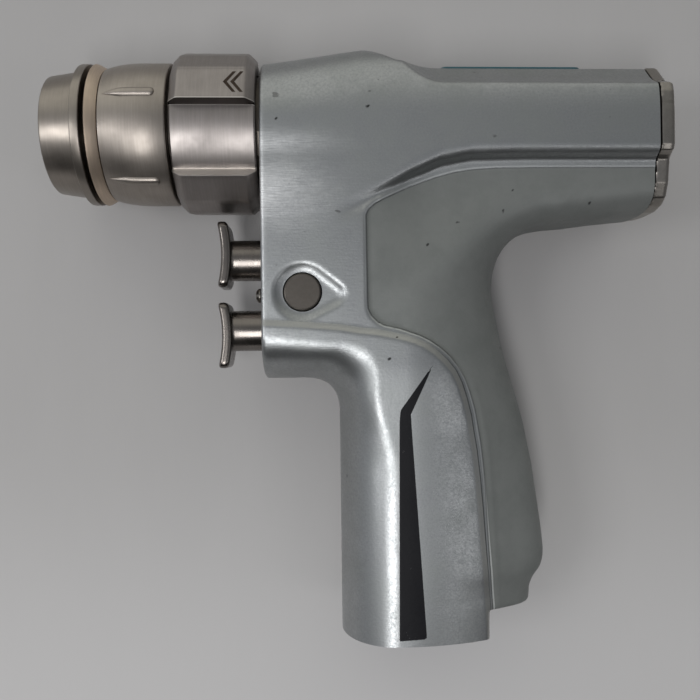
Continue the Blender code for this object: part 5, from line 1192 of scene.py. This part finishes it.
def trigger_shape(stem_up, pad_up):
    """Field of one trigger: a bowed finger pad on a round stem."""
    bow = (PAD_HALF_HEIGHT ** 2 + PAD_HOLLOW ** 2) / (2 * PAD_HOLLOW)

    def shape(back, side, up):
        rise = up - pad_up
        bend = bow - np.sqrt(np.maximum(bow * bow - rise * rise, 1.0))
        middle = -STEM_REACH - PAD_THICKNESS / 2 - bend
        slab = np.abs(back - middle) - PAD_THICKNESS / 2
        wide, tall = np.abs(side) - PAD_HALF_WIDTH, np.abs(rise) - PAD_HALF_HEIGHT
        plan = np.hypot(np.maximum(wide + PAD_CORNER, 0.0), np.maximum(tall + PAD_CORNER, 0.0)) - PAD_CORNER
        plan = np.maximum(plan, np.maximum(wide, tall))
        pad = keep(slab, plan, PAD_EDGE)
        radius = np.hypot(side, up - stem_up)
        stem_ends = np.maximum(back - STEM_INSERT, -STEM_REACH - STEM_INTO_PAD - back)
        stem = keep(radius - STEM_RADIUS, stem_ends, STEM_EDGE)
        guide = keep(radius - ROD_RADIUS, np.maximum(back - ROD_END, -back), ROD_EDGE)
        return join(join(pad, stem, STEM_BLEND), guide, ROD_BLEND)

    return shape


def make_triggers():
    """Both triggers, each one smooth form."""
    for which, pad_up in PAD_UPS.items():
        stem_up = TRIGGER_UPS[which]
        low = (TRIGGER_FRONT, -TRIGGER_SIDE, pad_up - TRIGGER_RISE)
        high = (ROD_END + 2 * TRIGGER_CELL, TRIGGER_SIDE, pad_up + TRIGGER_RISE)
        points, faces = surface_of(trigger_shape(stem_up, pad_up), low, high, TRIGGER_CELL)
        made = mesh_from(f"{which}_finger_trigger", to_frame(*points.T), faces)
        outward(made)
        dressed(made, f"{which}_trigger", f"{which}_trigger", TRIGGER_STEEL, 45.0)


BUTTON_NEAR, BUTTON_FAR = -17.0, 19.8
BUTTON_CAP = 8.6
BUTTON_ROD = 2.2
# Depth behind the button's face and drop from its radius, from the face to its side
BUTTON_EDGE = [(0.0, 0.42), (0.1, 0.2), (0.35, 0.0)]


def make_button():
    """Push-through mode button with a bright chamfer round each face."""
    cap = BUTTON_RADIUS
    near, far = BUTTON_NEAR, BUTTON_FAR
    profile = [(near, 0.0), (near, cap - 0.5)]
    profile += [(near + depth, cap - drop) for depth, drop in BUTTON_EDGE]
    profile += [(near + BUTTON_CAP, cap), (near + BUTTON_CAP, BUTTON_ROD), (far - BUTTON_CAP, BUTTON_ROD),
                (far - BUTTON_CAP, cap)]
    profile += [(far - depth, cap - drop) for depth, drop in reversed(BUTTON_EDGE)]
    profile.append((far, 0.0))
    made = lathe("round_mode_button", profile, at(BUTTON_PLACE[0], 0, BUTTON_PLACE[1]), (0, 1, 0))
    dressed(made, "mode_button", "mode_button", BUTTON_STEEL, 18.0)


SCREW_UP = -40.75
DOME_FOOT, DOME_HEIGHT, DOME_RADIUS = -1.3, 1.3, 1.9
DOME_ANGLES = (20, 35, 50, 62)
SHANK = [(5.0, 0.0), (5.0, 0.9), (DOME_FOOT, 0.9), (DOME_FOOT, 1.75), (-1.38, 1.88), (-1.6, DOME_RADIUS)]
KEY_RECESS = [(-2.3, 0.72), (-1.75, 0.68), (-1.75, 0.0)]
WASHER = [(-0.3, 2.3), (-0.45, 2.45), (-0.65, 2.5), (-0.85, 2.42), (-1.0, 2.2), (-1.0, 1.2), (-0.3, 1.2)]


def make_trigger_screw():
    """Domed screw and its black washer between the triggers."""
    start = at(0, 0, SCREW_UP)
    dome = [(DOME_FOOT - DOME_HEIGHT * math.sin(turn), DOME_RADIUS * math.cos(turn) ** 0.8)
            for turn in np.radians(DOME_ANGLES)]
    screw = lathe("domed_screw", SHANK + dome + KEY_RECESS, start, (1, 0, 0), 48)
    dressed(screw, "drill_body", "trigger_screw", CAP_STEEL)
    seal = lathe("black_washer", WASHER, start, (1, 0, 0), 48)
    dressed(seal, "drill_body", "trigger_screw_seal", RUBBER)


# End cap

CAP_FRONT, CAP_REAR = 95.95, 99.5
CAP_EDGE = 1.5
CAP_HOLE, CAP_CLEAR = 2.0, 3.0
CAP_LOW, CAP_HIGH = (CAP_FRONT - 0.6, -18.0, -22.2), (CAP_REAR + 0.6, 18.0, 16.0)
CAP_CELL = 0.4
CAP_PLUG = [(0.0, 10.9), (0.0, 12.1), (0.3, 12.4), (1.8, 12.4), (1.8, 11.3), (4.0, 11.3), (4.0, 12.4),
            (6.0, 12.4), (6.0, 10.9)]
PLUG_LENGTH = 5.8
SCREW_DEPTH = 1.7
SCREW_HEAD = [(-SCREW_DEPTH, 0.0), (-SCREW_DEPTH, 1.7), (-0.5, 1.7), (-0.35, 1.6), (-0.3, 1.45),
              (-0.3, 0.85), (-1.1, 0.8), (-1.1, 0.0)]
CAP_SCREWS = [(-12.2, 8.2), (12.2, 8.2), (-8.0, -15.4), (8.0, -15.4)]
# Right half of the end cap's outline in rear view, from the top down
CAP_HALF = [(0.0, 14.8), (8.2, 14.8), (12.7, 10.1), (16.2, 8.4), (16.75, 6.3), (17.0, 1.6), (17.0, -1.6),
            (16.95, -6.4), (16.4, -7.8), (15.0, -8.6), (14.1, -9.4), (13.8, -11.2), (13.3, -15.0),
            (11.8, -18.4), (9.4, -20.1), (5.9, -21.0), (0.0, -21.2)]


def cap_shape(back, side, up):
    """Field of the end cap's plate: its outline in rear view, rounded towards the rear."""
    whole = CAP_HALF + [(-a, b) for a, b in reversed(CAP_HALF[1:-1])]
    plan = outline_distance(whole, side, up)
    rear = keep(plan, back - CAP_REAR, CAP_EDGE)
    return keep(rear, CAP_FRONT - back, 0.25)


def make_cap():
    """End cap with its plug, the through hole and four counterbored screws."""
    points, faces = surface_of(cap_shape, CAP_LOW, CAP_HIGH, CAP_CELL)
    plate = mesh_from("steel_end_cap", to_frame(*points.T), faces)
    outward(plate)
    tools = [rod(CAP_HOLE, at(CAP_FRONT - CAP_CLEAR, 0, 0), at(CAP_REAR + CAP_CLEAR, 0, 0), 48)]
    for side, up in CAP_SCREWS:
        floor, outside = at(CAP_REAR - SCREW_DEPTH, side, up), at(CAP_REAR + CAP_CLEAR, side, up)
        tools.append(rod(CAP_HOLE, floor, outside, 40))
    drilled(plate, tools)
    dressed(plate, "drill_body", "rear_cap", CAP_STEEL, 40.0)
    plug = lathe("end_cap_plug", CAP_PLUG, at(CAP_FRONT - PLUG_LENGTH, 0, 0), (1, 0, 0))
    dressed(plug, "drill_body", None, CAP_STEEL)
    for number, (side, up) in enumerate(CAP_SCREWS, 1):
        screw = lathe(f"end_cap_screw_{number}", SCREW_HEAD, at(CAP_REAR, side, up), (1, 0, 0), 40)
        dressed(screw, "drill_body", f"rear_cap_screw_{number}", TRIGGER_STEEL)


# Springs: their joint, turns, wire radius, the joint's travel, and whether they are held in front
SPRINGS = {"collar_spring": ("collar_push", 2.0, 0.4, 2.5, True),
           "upper_trigger_spring": ("upper_trigger_pull", 4.0, 0.45, 6.0, False),
           "lower_trigger_spring": ("lower_trigger_pull", 4.0, 0.45, 6.0, False)}
COIL_STEPS = 24
WIRE_STEPS = 10


def make_springs():
    """Return springs, coiled in the room that the CAD keeps for them."""
    for node, (joint, turns, wire, travel, held_in_front) in SPRINGS.items():
        low, high = (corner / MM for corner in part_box(node))
        middle = (low + high) / 2
        radius = (high.y - low.y) / 2 - wire
        count = int(turns * COIL_STEPS) + 1
        turn = np.linspace(0.0, 2 * math.pi * turns, count)[:, None]
        along = np.linspace(low.x + wire, high.x - wire, count)[:, None]
        round_wire = np.linspace(0.0, 2 * math.pi, WIRE_STEPS, endpoint=False)[None, :]
        reach = radius + wire * np.cos(round_wire)
        points = np.stack([along + wire * np.sin(round_wire), middle.y + reach * np.sin(turn),
                           middle.z + reach * np.cos(turn)], -1)
        faces = [tuple(range(WIRE_STEPS)), tuple(range((count - 1) * WIRE_STEPS, count * WIRE_STEPS))]
        for step in range(count - 1):
            for edge in range(WIRE_STEPS):
                following = (edge + 1) % WIRE_STEPS
                first, second = step * WIRE_STEPS, (step + 1) * WIRE_STEPS
                faces.append((first + edge, first + following, second + following, second + edge))
        made = mesh_from(f"{node}_coil", points.reshape(-1, 3) * MM, faces)
        outward(made)
        dressed(made, "drill_body", node, SPRING, 60.0)
        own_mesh(made)


PLATE_SIZE = (35.2, 15.6, 0.4)
PLATE_BACK, PLATE_LIFT = 62.1, 0.12
PLATE_ROUND = 1.5


def make_plate():
    """Thin bare plate let into the flat roof."""
    shape = bmesh.new()
    bmesh.ops.create_cube(shape, size=1.0)
    bmesh.ops.scale(shape, vec=Vector(PLATE_SIZE) * MM, verts=shape.verts)
    round_uprights(shape, PLATE_ROUND)
    bmesh.ops.translate(shape, verts=shape.verts, vec=at(PLATE_BACK, 0, ROOF_HEIGHT + PLATE_LIFT))
    dressed(object_of("roof_plate", shape), "drill_body", None, PLATE)


make_body()
make_selector()
make_chevrons()
make_coupling()
make_ribs()
make_triggers()
make_button()
make_trigger_screw()
make_cap()
make_plate()
make_springs()

# Camera, backdrop and light

CAMERA_PLACE = (-10.6, -189.35, 70.9)
CAMERA_YAW = -2.45
CAMERA_ROLL = 0.717
CAMERA_LENS, CAMERA_SENSOR = 37.87, 36.0


def make_camera():
    """Camera of the photograph."""
    data = bpy.data.cameras.new("camera")
    data.lens = CAMERA_LENS
    data.sensor_width = CAMERA_SENSOR
    data.clip_start = 0.01
    camera = bpy.data.objects.new("camera", data)
    yaw = Matrix.Rotation(math.radians(CAMERA_YAW), 3, "Z")
    turn = yaw @ Matrix.Rotation(math.radians(CAMERA_ROLL), 3, "Y")
    right, ahead, above = (turn @ Vector(axis) for axis in ((1, 0, 0), (0, 1, 0), (0, 0, 1)))
    axes = Matrix((right, above, -ahead)).transposed()
    camera.matrix_world = Matrix.Translation(Vector(CAMERA_PLACE) * MM) @ axes.to_4x4()
    bpy.context.scene.collection.objects.link(camera)
    bpy.context.scene.camera = camera


BACKDROP = (0.45, 0.44, 0.437)
PAPER_PAINTED_LIGHT = (0.55, 0.54, 0.54)
BACKDROP_SIDE = 20.6

# Corners of the backdrop in metres, as (along, up)
BACKDROP_CORNERS = [(-1.5, -1.4), (1.5, -1.4), (1.5, 1.6), (-1.5, 1.6)]


def make_backdrop():
    """Pale surface that the drill lies on, seen only from its front."""
    shape = bmesh.new()
    shape.faces.new([shape.verts.new((x, BACKDROP_SIDE * MM, z)) for x, z in BACKDROP_CORNERS])
    made = object_of("backdrop", shape)
    paper = Finish("pale_paper", BACKDROP, 0.0, 0.85, specular=0.2)
    crease = paper.noise((1.0, 1.0, 0.35), 60.0, 4.0, 0.6)
    # Painted shade: the paper a little darker in streaks that follow its crease relief
    dim = tuple(0.93 * part for part in BACKDROP)
    paper.tint(paper.ranged(crease, 0.35, 0.75, 0.0, 0.35), dim)
    split = paper.node("ShaderNodeSeparateXYZ")
    paper.link(paper.place, split.inputs[0])
    # Painted light: the paper brighter towards the bottom, below the drill
    paper.tint(paper.ranged(split.outputs["Z"], 0.06, -0.03, 0.0, 1.0, True), PAPER_PAINTED_LIGHT)
    paper.bump(crease, 0.6, 0.35)
    clear = paper.node("ShaderNodeBsdfTransparent")
    side = paper.node("ShaderNodeNewGeometry")
    mix = paper.node("ShaderNodeMixShader")
    paper.link(side.outputs["Backfacing"], mix.inputs[0])
    paper.link(paper.shader.outputs[0], mix.inputs[1])
    paper.link(clear.outputs[0], mix.inputs[2])
    paper.link(mix.outputs[0], paper.tree.nodes["Material Output"].inputs["Surface"])
    made.data.materials.append(paper.material)
    if made.data.polygons[0].normal.y > 0.0:
        made.data.flip_normals()


def make_lamp(name, place, aim, size, power):
    """Soft rectangular lamp that faces a point of the drill."""
    data = bpy.data.lights.new(name, "AREA")
    data.shape = "RECTANGLE"
    data.size, data.size_y = size
    data.energy = power
    lamp = bpy.data.objects.new(name, data)
    start, end = Vector(place) * MM, Vector(aim) * MM
    turn = (end - start).to_track_quat("-Z", "Y").to_matrix().to_4x4()
    lamp.matrix_world = Matrix.Translation(start) @ turn
    bpy.context.scene.collection.objects.link(lamp)


# Tones of the surroundings: height from 0, below, to 1, above, and colour
SKY_LOWEST = (0.2, (0.03, 0.03, 0.03))
SKY_HIGHEST = (0.85, (0.68, 0.68, 0.64))
SKY_BETWEEN = [(0.36, (0.30, 0.305, 0.32)), (0.5, (0.25, 0.26, 0.28)), (0.65, (0.25, 0.26, 0.27))]
SKY_REACH = 0.8
SKY_LEFT, SKY_RIGHT = 1.52, 0.72

# Lamps: name, place and aim in millimetres, size in metres and power in watts
LAMPS = [("low_lamp", (-125, -600, -140), (0, 0, 60), (0.12, 0.32), 1.4),
         ("grip_lamp", (510, -770, -230), (30, 0, 30), (0.3, 0.24), 0.34),
         ("left_lamp", (-480, -540, 60), (-30, 0, 110), (0.22, 0.2), 0.8)]


def make_studio():
    """Soft surroundings, pale above, dim below and brighter on the left, with three soft lamps."""
    world = bpy.data.worlds.new("studio")
    world.use_nodes = True
    tree = world.node_tree
    link, make = tree.links.new, tree.nodes.new
    split = make("ShaderNodeSeparateXYZ")
    link(make("ShaderNodeTexCoord").outputs["Generated"], split.inputs[0])
    heights = make("ShaderNodeValToRGB")
    rise = make("ShaderNodeMapRange")
    rise.inputs["From Min"].default_value = -1.0
    link(split.outputs["Z"], rise.inputs["Value"])
    link(rise.outputs["Result"], heights.inputs[0])
    heights.color_ramp.interpolation = "EASE"
    stops = heights.color_ramp.elements
    for stop, (place, tone) in zip(stops, (SKY_LOWEST, SKY_HIGHEST)):
        stop.position = place
        stop.color = (*tone, 1.0)
    for place, tone in SKY_BETWEEN:
        stops.new(place).color = (*tone, 1.0)
    sides = make("ShaderNodeMapRange")
    reach = {"From Min": -SKY_REACH, "From Max": SKY_REACH, "To Min": SKY_LEFT, "To Max": SKY_RIGHT}
    for socket, number in reach.items():
        sides.inputs[socket].default_value = number
    link(split.outputs["X"], sides.inputs["Value"])
    light = tree.nodes["Background"]
    link(heights.outputs["Color"], light.inputs["Color"])
    link(sides.outputs["Result"], light.inputs["Strength"])
    shown = make("ShaderNodeBackground")
    shown.inputs["Color"].default_value = (*BACKDROP, 1.0)
    mix = make("ShaderNodeMixShader")
    link(make("ShaderNodeLightPath").outputs["Is Camera Ray"], mix.inputs[0])
    link(light.outputs[0], mix.inputs[1])
    link(shown.outputs[0], mix.inputs[2])
    link(mix.outputs[0], tree.nodes["World Output"].inputs["Surface"])
    bpy.context.scene.world = world
    for lamp in LAMPS:
        make_lamp(*lamp)


make_camera()
make_backdrop()
make_studio()
bpy.context.scene.view_settings.view_transform = "Standard"
